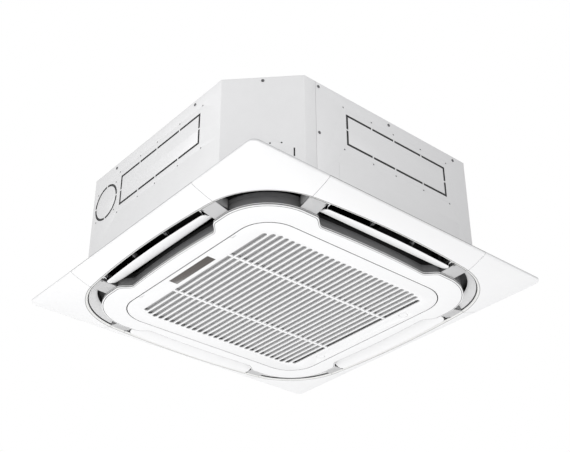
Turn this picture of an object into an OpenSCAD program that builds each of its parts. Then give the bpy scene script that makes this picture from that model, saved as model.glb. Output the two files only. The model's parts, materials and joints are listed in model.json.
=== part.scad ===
// Four-way ceiling cassette: a sheet metal casing that hangs above the ceiling,
// and a square panel below it with a hinged intake grille and four air flaps.
// The origin lies midway between the four hanger slots, at the height of their lugs.

/* [Casing] */
// Width of the casing across two flat sides
casing_w = 840; // [820:2:850]
// Height of the casing
casing_h = 290; // [280:1:320]
// Length of each cut corner, measured along a side
corner_cut = 140; // [132:1:146]
// Thickness of the casing sheets
sheet_t = 1; // [0.8:0.1:1.2]
// Height of the casing's underside above the lower edge of the panel's rim
casing_rise = 23; // [22:0.5:26]
// Thickness of the insulation on the walls
liner_t = 12; // [10:1:13]
// Thickness of the insulation under the top plate
liner_top_t = 12; // [10:1:14]

/* [Hangers] */
// Distance between the hanger rods, along X
rod_pitch_x = 780; // [772:2:786]
// Distance between the hanger rods, along Y
rod_pitch_y = 680; // [672:2:686]
// Width of the slot in each hanger lug
rod_slot_w = 12; // [10:0.5:12.5]
// Length of the slot in each hanger lug
rod_slot_len = 28; // [20:1:30]
// Height of the hanger lugs above the ceiling
seat_rise = 74; // [68:1:80]

/* [Panel] */
// Width of the square panel
panel_w = 950; // [940:2:970]
// Corner radius of the panel
panel_r = 18; // [10:1:24]
// Height of the panel's rim below the ceiling
rim_t = 6; // [5:0.5:8]
// Half width of the air outlet ring, at the middle of a side
lip_half = 424; // [421:0.5:427]
// Radius of the ring's long, slightly bowed sides
lip_side_r = 2404; // [2204:4:2704]
// Radius of the ring's corners
lip_corner_r = 187; // [180:1:194]
// Drop of the outlet ring's edge below the rim
lip_drop = 22; // [20:0.5:24]
// Half width of the centre frame around the grille
frame_half = 371; // [369:0.5:373]
// Corner radius of the centre frame
frame_r = 134; // [128:1:140]
// Drop of the centre frame's outer edge below the rim
frame_edge_drop = 33; // [32:0.5:35]
// Drop of the grille's face below the rim
face_drop = 38; // [37:0.5:42]
// Thickness of the panel mouldings
shell_t = 3; // [2.5:0.1:3.2]
// Distance of the corner covers' seams from the middle of a side
seam_s = 257.4; // [252:0.2:262]

/* [Grille] */
// Half width of the grille
grille_half = 309.5; // [306:0.5:313]
// Corner radius of the grille
grille_r = 84; // [78:1:90]
// Number of slots
slot_count = 29; // [21:2:31]
// Distance from slot to slot
slot_pitch = 18.16; // [17:0.02:18.4]
// Width of a slot
slot_w = 12.9; // [10:0.1:14]
// Half length of the long slots
slot_half_len = 264; // [240:1:268]
// Distance of the two cross ribs from the middle
rib_y = 114; // [90:1:130]
// Width of a cross rib
rib_w = 7; // [5:0.5:10]
// How far the grille swings down
grille_swing = 75; // [60:1:80]

/* [Flaps] */
// Half length of a flap
flap_half_len = 205; // [200:0.5:206]
// Thickness of a flap
flap_t = 3.6; // [3:0.1:4]
// Camber of a flap
flap_camber = 6.5; // [4:0.1:7]
// Angle between the open rest pose and the closed pose
flap_open_angle = 33.5; // [30:0.5:35]
// Distance of the flap's pivot from the middle of the panel
pivot_t = 409; // [408:0.2:410]
// Drop of the flap's pivot below the rim
pivot_drop = 11.5; // [11:0.1:12]
// Radius of the flap's end pins
pin_r = 3; // [2.5:0.1:3.4]

/* [Fan] */
// Outer radius of the turbo fan
fan_r = 240; // [225:1:246]
// Number of fan blades
blade_count = 7; // [5:1:9]
// Radius of the fan shaft
shaft_r = 6; // [5:0.25:7]
// Radius of the bell mouth's throat
throat_r = 185; // [175:1:190]
// Radius of the fan motor
motor_r = 78; // [70:1:80]

/* [Coil] */
// Thickness of the coil, front to back
coil_t = 38; // [34:1:40]
// Height of the coil
coil_h = 230; // [215:1:235]
// Distance from the casing's outside to the coil
coil_inset = 77; // [74:1:80]

/* [Pipes] */
// Outer diameter of the gas pipe
gas_pipe_d = 15.88; // [12.7:0.01:15.88]
// Outer diameter of the liquid pipe
liquid_pipe_d = 9.52; // [6.35:0.01:9.52]
// Outer diameter of the drain socket
drain_d = 32; // [25:1:34]
// Length of the pipe stubs outside the casing
stub_len = 48; // [40:1:54]

/* [Hidden] */
$fn = 48;

// Overrun of every cut
over = 1;
// Gap between pieces that lie against each other without touching
gap = 0.3;
// Radial clearance of a running fit
run_fit = 0.06;

// Levels, measured in the object's own frame
ceiling_z = -seat_rise;
arris_z = ceiling_z - rim_t;
casing_z = arris_z + casing_rise;
casing_top_z = casing_z + casing_h;
casing_half = casing_w / 2;
panel_half = panel_w / 2;
diag_share = sqrt(2);
cut_reach = (casing_w - corner_cut) / diag_share;
lip_z = arris_z - lip_drop;
face_z = arris_z - face_drop;
pivot_z = arris_z - pivot_drop;

// Flat outline of the casing, drawn in by an inset
module octagon(inset) {
    a = casing_half - inset;
    b = casing_w - corner_cut - inset * diag_share - a;
    polygon([[a, -b], [a, b], [b, a], [-b, a], [-a, b], [-a, -b], [-b, -a], [b, -a]]);
}
// Square with round corners
module round_square(half, r) {
    square([2 * half, 2 * (half - r)], center = true);
    square([2 * (half - r), 2 * half], center = true);
    for (x = [-1, 1], y = [-1, 1])
        translate([x * (half - r), y * (half - r)]) circle(r);
}
module at_sides() { for (k = [0:3]) rotate([0, 0, 90 * k]) children(); }
module at_corners() { for (k = [0:3]) rotate([0, 0, 45 + 90 * k]) children(); }
// Slab between two levels
module slab(low, high) { translate([0, 0, low]) linear_extrude(high - low) children(); }
// Box from its low corner to its high corner
module span_box(low, high) { translate(low) cube(high - low); }
// Round bar along local Y, between two stations
module bar_y(x, z, r, y0, y1) {
    translate([x, y0, z]) rotate([-90, 0, 0]) cylinder(r = r, h = y1 - y0);
}
// Round bar along local X, between two stations
module bar_x(y, z, r, x0, x1) {
    translate([x0, y, z]) rotate([0, 90, 0]) cylinder(r = r, h = x1 - x0);
}

function clamp01(a) = min(max(a, 0), 1);
function backward(list) = [for (i = [len(list) - 1:-1:0]) list[i]];
function smooth(a) = a * a * (3 - 2 * a);
function turned(p, k) = [p.x * cos(90 * k) + p.y * sin(90 * k), p.y * cos(90 * k) - p.x * sin(90 * k)];
function turned_up(p, k) = let (q = turned(p, k)) [q.x, q.y, p.z];

// Outlet ring: two arcs that meet in line, a long one on each side and a short one at each corner
lip_k = lip_side_r - lip_half;
lip_d = lip_side_r - lip_corner_r;
lip_c = (-2 * lip_k + sqrt(4 * lip_k * lip_k - 8 * (lip_k * lip_k - lip_d * lip_d))) / 4;
lip_side_end = lip_c + lip_corner_r * lip_c / lip_d;
function lip_at(s) = abs(s) < lip_side_end
    ? sqrt(lip_side_r * lip_side_r - s * s) - lip_k
    : lip_c + sqrt(lip_corner_r * lip_corner_r - pow(abs(s) - lip_c, 2));
lip_side_n = 6;
lip_corner_n = 10;
lip_turn = asin(lip_c / lip_d);
function lip_quarter(grow) = concat(
    [for (i = [-lip_side_n:lip_side_n - 1]) let (s = lip_side_end * i / lip_side_n)
        [s, lip_at(s)] + grow * [s / lip_side_r, sqrt(1 - pow(s / lip_side_r, 2))]],
    [for (i = [0:lip_corner_n]) let (a = lip_turn + (90 - 2 * lip_turn) * i / lip_corner_n)
        [lip_c + (lip_corner_r + grow) * sin(a), lip_c + (lip_corner_r + grow) * cos(a)]]);
module lip_outline(grow) {
    polygon([for (k = [0:3]) for (p = lip_quarter(grow)) turned(p, k)]);
}

// Centre frame's outer edge: a round square, notched in front of each flap
notch_depth = 22;
notch_bow = 3;
notch_flat = 165;
notch_end = 205;
notch_drop = 2;
frame_straight = frame_half - frame_r;
function notch_share(s) = 1 - smooth(clamp01((abs(s) - notch_flat) / (notch_end - notch_flat)));
function edge_at(s) = frame_half
    - notch_share(s) * (notch_depth - notch_bow * (1 - 2 * pow(s / notch_flat, 2)));
notch_n = 3;
ramp_n = 5;
edge_half_s = concat([for (i = [0:notch_n]) notch_flat * i / notch_n],
    [for (i = [1:ramp_n]) notch_flat + (notch_end - notch_flat) * i / ramp_n]);
edge_last = len(edge_half_s) - 1;
edge_s = concat([for (i = [edge_last:-1:1]) -edge_half_s[i]], edge_half_s);
edge_corner_n = 8;
// One quarter of the edge: plan point, then drop of the edge there
function edge_quarter(grow) = concat(
    [for (s = edge_s) [s, edge_at(s) + grow, notch_drop * notch_share(s)]],
    [for (i = [0:edge_corner_n]) let (a = 90 * i / edge_corner_n)
        [frame_straight + (frame_r + grow) * sin(a), frame_straight + (frame_r + grow) * cos(a), 0]]);
module edge_outline(grow) {
    polygon([for (k = [0:3]) for (p = edge_quarter(grow)) turned(p, k)]);
}
module air_ring(grow_in, grow_out) {
    difference() {
        lip_outline(grow_out);
        edge_outline(grow_in);
    }
}

// Solid through a row of matching sections
module loft(sections, closed = false) {
    n = len(sections);
    m = len(sections[0]);
    points = [for (s = sections) for (p = s) p];
    last = closed ? n - 1 : n - 2;
    sides = [for (i = [0:last]) for (j = [0:m - 1]) let (
        a = i * m + j, b = i * m + (j + 1) % m,
        c = ((i + 1) % n) * m + (j + 1) % m, d = ((i + 1) % n) * m + j)
        each [[a, b, c], [a, c, d]]];
    caps = closed ? [] : [[for (j = [m - 1:-1:0]) j], [for (j = [0:m - 1]) (n - 1) * m + j]];
    polyhedron(points = points, faces = concat(sides, caps), convexity = 10);
}
// Section over a plan line from the lip to the rim: each entry is a share of the
// line, a distance along it and a level
function section_on(a, b, entries) = let (u = (b - a) / norm(b - a))
    [for (e = entries) let (p = a + (b - a) * e[0] + u * e[1]) [p.x, p.y, e[2]]];

// Fall of the panel's band from its rim, share 1, to its lip, share 0
function fall(share) = arris_z - lip_drop * (1 - share) * (1.25 - 0.25 * (1 - share));
edge_break = 0.9;
bead_w = 5;
bead_step = 1;
bead_full = bead_w + bead_step;
wall_drop = 14;
rim_w = 7;
cover_rim_w = 5.5;
cover_t = 2.2;
tray_gap = 0.6;
tray_t = 2;
rim_split = 2.2;
band_shares = [0.25, 0.5, 0.75];
bead_drop_share = 1.5;
lip_fold_share = 1.3;
band_face = concat([[1, -edge_break, arris_z]],
    [for (v = band_shares) let (f = 1 - v) [f, bead_full * (1 - f), fall(f)]],
    [[0, bead_full, lip_z], [0, bead_w, lip_z + bead_step],
     [0, 0, lip_z + bead_drop_share * bead_step]]);
frame_section = concat([[1, 0, ceiling_z], [1, 0, arris_z + edge_break]], band_face,
    [[0, 0, arris_z - wall_drop], [0, shell_t, arris_z - wall_drop],
     [0, shell_t, lip_z + lip_fold_share * shell_t], [0, bead_full, lip_z + shell_t]],
    [for (f = band_shares) [f, bead_full * (1 - f), fall(f) + shell_t]],
    [[1, -rim_w, arris_z + shell_t], [1, -rim_w, ceiling_z]]);
cover_top_z = ceiling_z - rim_split;
cover_section = concat([[1, 0, cover_top_z], [1, 0, arris_z + edge_break]], band_face,
    [[0, 0, lip_z + bead_step + cover_t], [0, bead_w, lip_z + cover_t + bead_step / 2],
     [0, bead_full, lip_z + cover_t]],
    [for (f = band_shares) [f, bead_full * (1 - f), fall(f) + cover_t]],
    [[1, -cover_rim_w, cover_top_z]]);
tray_low = cover_t + tray_gap;
tray_section = concat([[1, 0, ceiling_z], [1, 0, cover_top_z + gap], [1, -rim_w, cover_top_z + gap]],
    [for (v = band_shares) let (f = 1 - v) [f, bead_full * (1 - f), fall(f) + tray_low]],
    [[0, bead_full, lip_z + tray_low], [0, bead_w, lip_z + tray_low + bead_step / 2],
     [0, 0, lip_z + bead_step + tray_low], [0, 0, arris_z - wall_drop],
     [0, shell_t, arris_z - wall_drop], [0, shell_t, lip_z + bead_step + tray_low + tray_t],
     [0, bead_full, lip_z + tray_low + tray_t]],
    [for (f = band_shares) [f, bead_full * (1 - f), fall(f) + tray_low + tray_t]],
    [[1, -rim_w, ceiling_z - tray_t / 3], [1, -rim_w, ceiling_z]]);
band_n = 12;
function side_sections(entries) = [for (i = [0:band_n]) let (s = seam_s * (2 * i / band_n - 1))
    section_on([s, lip_at(s)], [s, panel_half], entries)];
// Outer path of a corner: straight, round, straight
corner_n = 14;
function corner_path(i, start) = let (k = panel_half - panel_r)
    i < 5 ? [start + (k - start) * i / 5, panel_half]
    : i > 9 ? [panel_half, start + (k - start) * (corner_n - i) / 5]
    : [k + panel_r * sin(90 * (i - 5) / 4), k + panel_r * cos(90 * (i - 5) / 4)];
function corner_sections(entries, start) = let (
    a0 = asin((start - lip_c) / lip_corner_r))
    [for (i = [0:corner_n]) let (a = a0 + (90 - 2 * a0) * i / corner_n)
        section_on([lip_c + lip_corner_r * sin(a), lip_c + lip_corner_r * cos(a)],
            corner_path(i, start), entries)];

// Features of the casing sheets, in the frame of one side: s to the right, z up
knock_w = 4;
tie_w = 4;
knock_box = [-148, 199, 170, 262];
knock_tie_shares = [0.25, 0.47, 0.75];
knock_round_s = -216;
knock_round_z = 213;
knock_round_r = 49;
hole_r = 2.2;
hole_off = 8;
hole_rise = 17;
small_hole_off = 43;
screw_rise_z = 301;
seam_screw_z = 164;
screw_s = 236;
end_screw_s = 175;
seam_end = 245;
seam_gap = 0.6;
emboss_box = [-176, 232, 60, 106];
emboss_t = 0.6;
flange_h = 18;
flange_gap = 0.2;

// Every level above was taken from the lower edge of the rim
module side_hole(s, z, r = hole_r) {
    translate([s, -casing_half - over, arris_z + z]) rotate([-90, 0, 0])
        cylinder(r = r, h = 4 * sheet_t + 2 * over, $fn = 24);
}
module side_cut(low_s, high_s, low_z, high_z) {
    span_box([low_s, -casing_half - over, arris_z + low_z],
        [high_s, -casing_half + sheet_t + over, arris_z + high_z]);
}
module knock_out_square() {
    w = knock_box[1] - knock_box[0];
    mid_z = (knock_box[2] + knock_box[3]) / 2;
    difference() {
        side_cut(knock_box[0], knock_box[1], knock_box[2], knock_box[3]);
        side_cut(knock_box[0] + knock_w, knock_box[1] - knock_w, knock_box[2] + knock_w,
            knock_box[3] - knock_w);
        for (f = knock_tie_shares) let (s = knock_box[0] + w * f)
            side_cut(s - tie_w / 2, s + tie_w / 2, knock_box[2] - over, knock_box[3] + over);
        side_cut(knock_box[0] - over, knock_box[1] + over, mid_z - tie_w / 2, mid_z + tie_w / 2);
    }
    for (f = concat([0, 1], knock_tie_shares))
        for (z = [knock_box[2] - hole_rise, knock_box[3] + hole_rise])
            side_hole(knock_box[0] + w * f + (f == 0 ? -hole_off : f == 1 ? hole_off : 0), z);
}
module knock_out_round() {
    difference() {
        translate([knock_round_s, -casing_half - over, arris_z + knock_round_z])
            rotate([-90, 0, 0]) difference() {
                cylinder(r = knock_round_r + knock_w / 2, h = sheet_t + 2 * over);
                translate([0, 0, -over])
                    cylinder(r = knock_round_r - knock_w / 2, h = sheet_t + 4 * over);
            }
        for (a = [0, 90]) translate([knock_round_s, -casing_half, arris_z + knock_round_z])
            rotate([0, a, 0]) cube([tie_w, 4 * over + sheet_t, 3 * knock_round_r], center = true);
    }
    for (x = [-1, 1], z = [-1, 1])
        side_hole(knock_round_s + x * small_hole_off, knock_round_z + z * small_hole_off);
}
// Stations of the top screws on side k: three on the front and back, two on the others
function top_screw_s(k) = k % 2 == 0 ? [-screw_s, 0, screw_s] : [-end_screw_s, end_screw_s];
corner_screw_z = 303;
corner_hole_z = 118;
corner_hole_s = [18, 44.6];
tab_slot = [72, 75.5, 78, 102];
module corner_cuts() {
    for (k = [0:3]) rotate([0, 0, 45 + 90 * k]) {
        bar_x(0, arris_z + corner_screw_z, hole_r, cut_reach - 4 * sheet_t, cut_reach + over);
        for (y = corner_hole_s)
            bar_x(y, arris_z + corner_hole_z, hole_r, cut_reach - 4 * sheet_t, cut_reach + over);
        span_box([cut_reach - sheet_t - over, tab_slot[0], arris_z + tab_slot[2]],
            [cut_reach + over, tab_slot[1], arris_z + tab_slot[3]]);
    }
    for (k = [0:3]) rotate([0, 0, 90 * k]) for (s = top_screw_s(k)) side_hole(s, screw_rise_z);
    side_hole(-screw_s, seam_screw_z);
}
bolt_y = [2, 44];
bolt_fall = 18;
bolt_r = 3;
// Hanger bolt places: the brackets are mirror pairs, so each bolt is placed from its slot
module at_hangers() {
    for (x = [0, 1], y = [0, 1]) mirror([x, 0, 0]) mirror([0, y, 0])
        rotate([0, 0, 45]) mirror([0, 1, 0]) children();
}
module hanger_holes() {
    at_hangers() for (y = bolt_y)
        bar_x(y, -bolt_fall, bolt_r + gap, cut_reach - liner_t - 4 * sheet_t, cut_reach + 4 * over);
}
gas_z = 118;
liquid_z = 118;
drain_z = 152;
bush_z = 62;
bush_r = 9;
pipe_window = [88, 24, 188];
// Openings for the pipes in the corner at +X, +Y
module pipe_window_cut() {
    rotate([0, 0, 45]) span_box([cut_reach - sheet_t - over, -pipe_window[0], pipe_window[1]],
        [cut_reach + over, pipe_window[0], pipe_window[2]]);
}
module sheet_ring() {
    difference() {
        slab(casing_z, casing_top_z - sheet_t) difference() {
            octagon(0);
            octagon(sheet_t);
        }
        corner_cuts();
        hanger_holes();
    }
}
side_end = casing_half - corner_cut;
reach = 2 * casing_half;

// Casing sheets
module casing_sheet_left() {
    color("gainsboro") difference() {
        intersection() {
            sheet_ring();
            span_box([-reach, -reach, casing_z - over], [-seam_end - seam_gap, side_end, casing_top_z]);
        }
        rotate([0, 0, -90]) knock_out_square();
        rotate([0, 0, -90]) knock_out_round();
    }
}
module casing_sheet_front() {
    color("gainsboro") {
        difference() {
            intersection() {
                sheet_ring();
                span_box([-seam_end, -reach, casing_z - over],
                    [side_end - seam_gap, -casing_half + 2 * sheet_t, casing_top_z]);
            }
            knock_out_square();
        }
        difference() {
            span_box([emboss_box[0], -casing_half - emboss_t, casing_z + over],
                [emboss_box[1], -casing_half + sheet_t / 2, arris_z + emboss_box[3]]);
            span_box([emboss_box[0] + knock_w, -casing_half - emboss_t / 2, casing_z],
                [emboss_box[1] - knock_w, -casing_half + sheet_t, arris_z + emboss_box[3] - knock_w]);
            hanger_holes();
        }
    }
}
module casing_sheet_right() {
    color("gainsboro") difference() {
        intersection() {
            sheet_ring();
            span_box([side_end, -reach, casing_z - over], [reach, reach, casing_top_z]);
        }
        rotate([0, 0, 90]) knock_out_square();
        pipe_window_cut();
    }
}
module casing_sheet_back() {
    color("gainsboro") difference() {
        intersection() {
            sheet_ring();
            span_box([-reach, side_end + seam_gap, casing_z - over],
                [side_end - seam_gap, reach, casing_top_z]);
        }
        rotate([0, 0, 180]) knock_out_square();
    }
}
bead_half = 300;
bead_ring_w = 14;
bead_h = 3;
module top_plate() {
    color("lightgray") {
        slab(casing_top_z - sheet_t + gap / 3, casing_top_z) octagon(0);
        difference() {
            slab(casing_top_z - flange_h, casing_top_z - sheet_t / 2) difference() {
                octagon(sheet_t + flange_gap);
                octagon(2 * sheet_t + flange_gap);
            }
            corner_cuts();
        }
        slab(casing_top_z - sheet_t / 2, casing_top_z + bead_h) {
            difference() {
                round_square(bead_half, bead_half / 4);
                round_square(bead_half - bead_ring_w, bead_half / 4 - bead_ring_w);
            }
            difference() {
                circle(bead_half / 2);
                circle(bead_half / 2 - bead_ring_w);
            }
        }
    }
}
screw_r = 1.8;
screw_head_r = 4;
screw_head_h = 1.8;
screw_len = 2.2;
module side_screw(s, z) {
    translate([s, -casing_half, arris_z + z]) rotate([-90, 0, 0]) {
        difference() {
            translate([0, 0, -screw_head_h]) cylinder(r = screw_head_r, h = screw_head_h, $fn = 24);
            for (a = [0, 90]) rotate([0, 0, a]) translate([0, 0, -screw_head_h])
                cube([screw_r, screw_head_r, screw_head_h], center = true);
        }
        cylinder(r = screw_r, h = screw_len, $fn = 24);
    }
}
module casing_screws() {
    color("silver") {
        for (k = [0:3]) rotate([0, 0, 90 * k]) for (s = top_screw_s(k)) side_screw(s, screw_rise_z);
        side_screw(-screw_s, seam_screw_z);
        at_corners() translate([cut_reach - casing_half, 0, 0]) rotate([0, 0, 90])
            side_screw(0, corner_screw_z);
    }
}

// Hanging hardware
lug_t = 2.3;
lug_y = [-8, 54];
lug_reach = 38;
bracket_fall = 30;
module hanger_brackets() {
    slot_x = (rod_pitch_x + rod_pitch_y) / 2 / diag_share;
    slot_y = (rod_pitch_x - rod_pitch_y) / 2 / diag_share;
    color("silver") difference() {
        at_hangers() difference() {
            union() {
                span_box([cut_reach + gap / 3, lug_y[0], -bracket_fall],
                    [cut_reach + gap / 3 + lug_t, lug_y[1], 0]);
                span_box([cut_reach + gap / 3, lug_y[0], -lug_t],
                    [cut_reach + lug_reach, lug_y[1], 0]);
            }
            translate([slot_x, slot_y, -lug_t - over]) rotate([0, 0, 45])
                linear_extrude(lug_t + 2 * over) {
                    half = (rod_slot_len - rod_slot_w) / 2;
                    square([2 * half, rod_slot_w], center = true);
                    for (x = [-half, half]) translate([x, 0]) circle(rod_slot_w / 2);
                }
            for (y = bolt_y) bar_x(y, -bolt_fall, bolt_r + gap, cut_reach - over, cut_reach + lug_reach);
        }
    }
}
bolt_head_r = 5.5;
bolt_head_h = 4;
bolt_grip = 7;
module hanger_bolts() {
    color("gray") at_hangers() for (y = bolt_y) {
        start = cut_reach + gap / 3 + lug_t;
        bar_x(y, -bolt_fall, bolt_r, start - bolt_grip, start + bolt_head_h / 2);
        translate([start, y, -bolt_fall]) rotate([0, 90, 0])
            cylinder(r = bolt_head_r, h = bolt_head_h, $fn = 6);
    }
}
liner_base = 49;
motor_window_r = 118;
module wall_liner() {
    color("dimgray") difference() {
        slab(casing_z + liner_base, casing_top_z - sheet_t - liner_top_t - gap) difference() {
            octagon(3 * sheet_t);
            octagon(3 * sheet_t + liner_t);
        }
        hanger_holes();
        rotate([0, 0, 45]) {
            bar_x(-pipe_s, gas_z, gas_pipe_d / 2 + gap, cut_reach - 3 * liner_t, cut_reach);
            bar_x(pipe_s, liquid_z, liquid_pipe_d / 2 + gap, cut_reach - 3 * liner_t, cut_reach);
            bar_x(0, drain_z, drain_d / 2 + gap, cut_reach - 3 * liner_t, cut_reach);
            bar_x(0, bush_z, bush_r + gap, cut_reach - 3 * liner_t, cut_reach);
        }
    }
}
module top_liner() {
    color("dimgray") slab(casing_top_z - sheet_t - liner_top_t, casing_top_z - sheet_t) difference() {
        octagon(3 * sheet_t);
        circle(motor_window_r);
    }
}

// Heat exchanger
coil_half = casing_half - coil_inset;
coil_r = 90;
coil_end = 215;
coil_lift = 42;
coil_z = casing_z + coil_lift;
plate_t = 1.5;
tube_r = 4.8;
bend_rows = 5;
module coil_ring(grow) {
    difference() {
        round_square(coil_half + grow, coil_r + grow);
        round_square(coil_half - coil_t - grow, coil_r - coil_t - grow);
        translate([coil_end, coil_end]) square(reach);
    }
}
module coil_fins() { color("lightsteelblue") slab(coil_z, coil_z + coil_h) coil_ring(0); }
// Plates that close both ends of the coil, at the pipe corner
module at_coil_ends() {
    children();
    mirror([1, -1, 0]) children();
}
module coil_end_plates() {
    color("silver") at_coil_ends()
        span_box([coil_half - coil_t - 2 * plate_t, coil_end + gap / 3, coil_z],
            [coil_half + 2 * plate_t, coil_end + gap / 3 + plate_t, coil_z + coil_h]);
}
module coil_return_bends() {
    pitch = coil_h / (bend_rows + 1);
    bend_r = coil_t / 4;
    color("peru") at_coil_ends() for (i = [1:bend_rows])
        translate([coil_half - coil_t + bend_r, coil_end + gap / 3 + plate_t, coil_z + pitch * i])
            rotate([0, -90, 0]) rotate_extrude(angle = 180) translate([bend_r, 0]) circle(tube_r / 2);
}
header_r = 9.5;
header_off = 22;
header_x = coil_half - coil_t / 4;
stub_r = 4;
stub_shares = [0.1, 0.5, 0.9];
header_low = 70;
header_high = 150;
// A vertical header pipe joined to the coil's end by short stubs
module header_pipe(r, low, high) {
    translate([header_x, coil_end + header_off + header_r, low]) cylinder(r = r, h = high - low);
    for (f = stub_shares) bar_y(header_x, low + (high - low) * f, stub_r,
        coil_end + gap / 3 + plate_t, coil_end + header_off + header_r);
}
gas_top = gas_z + header_r * 2;
liquid_r = 6;
module gas_header() { color("peru") header_pipe(header_r, header_low, gas_top); }
module liquid_header() {
    color("peru") mirror([1, -1, 0]) header_pipe(liquid_r, header_low, liquid_z + header_r);
}
// Pipe stubs from the headers out through the corner plate
header_d = (header_x + coil_end + header_off + header_r) / diag_share;
pipe_s = (header_x - coil_end - header_off - header_r) / diag_share;
module gas_pipe() {
    color("peru") rotate([0, 0, 45]) {
        bar_x(-pipe_s, gas_z, gas_pipe_d / 2 - gap, header_d + header_r + gap, cut_reach + stub_len - over);
        bar_x(-pipe_s, gas_z, gas_pipe_d / 2, cut_reach + stub_len - nut_back, cut_reach + stub_len);
    }
}
module liquid_pipe() {
    color("peru") rotate([0, 0, 45]) {
        bar_x(pipe_s, liquid_z, liquid_pipe_d / 2 - gap, header_d + liquid_r + gap,
            cut_reach + stub_len - over);
        bar_x(pipe_s, liquid_z, liquid_pipe_d / 2, cut_reach + stub_len - nut_back, cut_reach + stub_len);
    }
}
nut_len = 18;
nut_wall = 4.5;
nut_back = 14;
module flare_nut(y, z, d) {
    translate([cut_reach + stub_len - nut_back - nut_len, y, z]) rotate([0, 90, 0]) difference() {
        cylinder(r = d / 2 + nut_wall, h = nut_len, $fn = 6);
        translate([0, 0, -over]) cylinder(r = d / 2 + gap / 3, h = nut_len + 2 * over);
    }
}
module flare_nuts() {
    color("goldenrod") rotate([0, 0, 45]) {
        flare_nut(-pipe_s, gas_z, gas_pipe_d);
        flare_nut(pipe_s, liquid_z, liquid_pipe_d);
    }
}
cover_lap = 6;
module pipe_cover_plate() {
    color("lightgray") rotate([0, 0, 45]) difference() {
        span_box([cut_reach + gap / 3, -pipe_window[0] - cover_lap, pipe_window[1] - cover_lap],
            [cut_reach + gap / 3 + plate_t, pipe_window[0] + cover_lap, pipe_window[2] + cover_lap]);
        bar_x(-pipe_s, gas_z, gas_pipe_d / 2 + gap, cut_reach - over, cut_reach + liner_t);
        bar_x(pipe_s, liquid_z, liquid_pipe_d / 2 + gap, cut_reach - over, cut_reach + liner_t);
        bar_x(0, drain_z, drain_d / 2 + gap, cut_reach - over, cut_reach + liner_t);
        bar_x(0, bush_z, bush_r + gap / 3, cut_reach - over, cut_reach + liner_t);
    }
}
bush_lip = 3;
bush_bore_r = 6;
module cable_bush() {
    color("black") rotate([0, 0, 45]) difference() {
        union() {
            bar_x(0, bush_z, bush_r, cut_reach - bush_lip, cut_reach + bush_lip + plate_t);
            bar_x(0, bush_z, bush_r + bush_lip, cut_reach + gap / 3 + plate_t,
                cut_reach + bush_lip + plate_t);
        }
        bar_x(0, bush_z, bush_bore_r, cut_reach - 2 * bush_lip, cut_reach + 3 * bush_lip);
    }
}

// Drain pan, with one air slot over each flap
pan_h = 48;
pan_hole_half = 300;
pan_hole_r = 60;
pan_slot = [358, 402];
pan_slot_half = 205;
gutter_depth = 7;
gutter_gap = 4;
module drain_pan() {
    color("dimgray") difference() {
        slab(casing_z, casing_z + pan_h) difference() {
            octagon(sheet_t + gap);
            round_square(pan_hole_half, pan_hole_r);
            at_sides() translate([pan_slot[0], -pan_slot_half])
                square([pan_slot[1] - pan_slot[0], 2 * pan_slot_half]);
        }
        translate([0, 0, casing_z + pan_h - gutter_depth]) 
            linear_extrude(gutter_depth + over) difference() {
            round_square(coil_half + gutter_gap, coil_r + gutter_gap);
            round_square(coil_half - coil_t - gutter_gap, coil_r - coil_t - gutter_gap);
        }
        hanger_holes();
    }
}
pump_x = 405;
pump_r = 24;
pump_lift = 6;
pump_z = casing_z + pan_h + pump_lift;
cup_h = 22;
cup_wall = 4;
spindle_r = 2.5;
pump_top = 58;
module drain_pump() {
    color("whitesmoke") rotate([0, 0, 45]) translate([pump_x, 0, 0]) difference() {
        translate([0, 0, pump_z]) cylinder(r = pump_r, h = pump_top - pump_z);
        translate([0, 0, pump_z - over]) cylinder(r = cup_wall * 2, h = cup_h);
        translate([0, 0, pump_z + cup_wall]) cylinder(r = pump_r - cup_wall, h = cup_h - cup_wall);
        translate([0, 0, pump_z + cup_wall]) cylinder(r = spindle_r + run_fit, h = 2 * cup_h);
    }
}
impeller_r = 16;
impeller_t = 2;
impeller_lift = 4;
impeller_z = pump_z + cup_wall + impeller_lift;
module pump_impeller() {
    color("white") rotate([0, 0, 45]) translate([pump_x, 0, 0]) {
        translate([0, 0, impeller_z]) cylinder(r = impeller_r, h = impeller_t);
        for (a = [0:60:300]) rotate([0, 0, a])
            translate([spindle_r / 2, -impeller_t / 2, impeller_z])
                cube([impeller_r - spindle_r, impeller_t, 3 * impeller_t]);
        translate([0, 0, impeller_z]) cylinder(r = spindle_r, h = cup_h);
    }
}
float_x = 455;
stem_r = 4;
float_r = 12;
float_h = 14;
stem_cap_r = 6;
stem_cap_h = 4;
float_travel = 12;
bracket_t = 2;
module pump_bracket() {
    back = cut_reach - 3 * sheet_t - liner_t;
    color("silver") rotate([0, 0, 45]) difference() {
        union() {
            span_box([pump_x - pump_r, -pump_r, pump_top + gap / 3],
                [back - gap, pump_r, pump_top + gap / 3 + bracket_t]);
            span_box([back - gap - bracket_t, -pump_r, pump_top + gap / 3],
                [back - gap, pump_r, pump_top + 7 * bracket_t]);
        }
        translate([float_x, 0, 0]) cylinder(r = stem_r + gap, h = pump_top * 2);
    }
}
module float_stem() {
    color("white") rotate([0, 0, 45]) translate([float_x, 0, 0]) {
        translate([0, 0, pump_z]) cylinder(r = stem_r, h = pump_top - pump_z + 3 * bracket_t);
        translate([0, 0, pump_z]) cylinder(r = stem_cap_r, h = stem_cap_h);
        translate([0, 0, pump_top + gap / 3 + bracket_t + gap]) cylinder(r = stem_cap_r, h = stem_cap_h);
    }
}
module float_ring() {
    color("ivory") rotate([0, 0, 45]) translate([float_x, 0, pump_z + stem_cap_h + gap / 3])
        difference() {
            cylinder(r = float_r, h = float_h);
            translate([0, 0, -over]) cylinder(r = stem_r + run_fit, h = float_h + 2 * over);
        }
}
riser_x = 405;
socket_bore = 2.5;
socket_step = 6;
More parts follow.
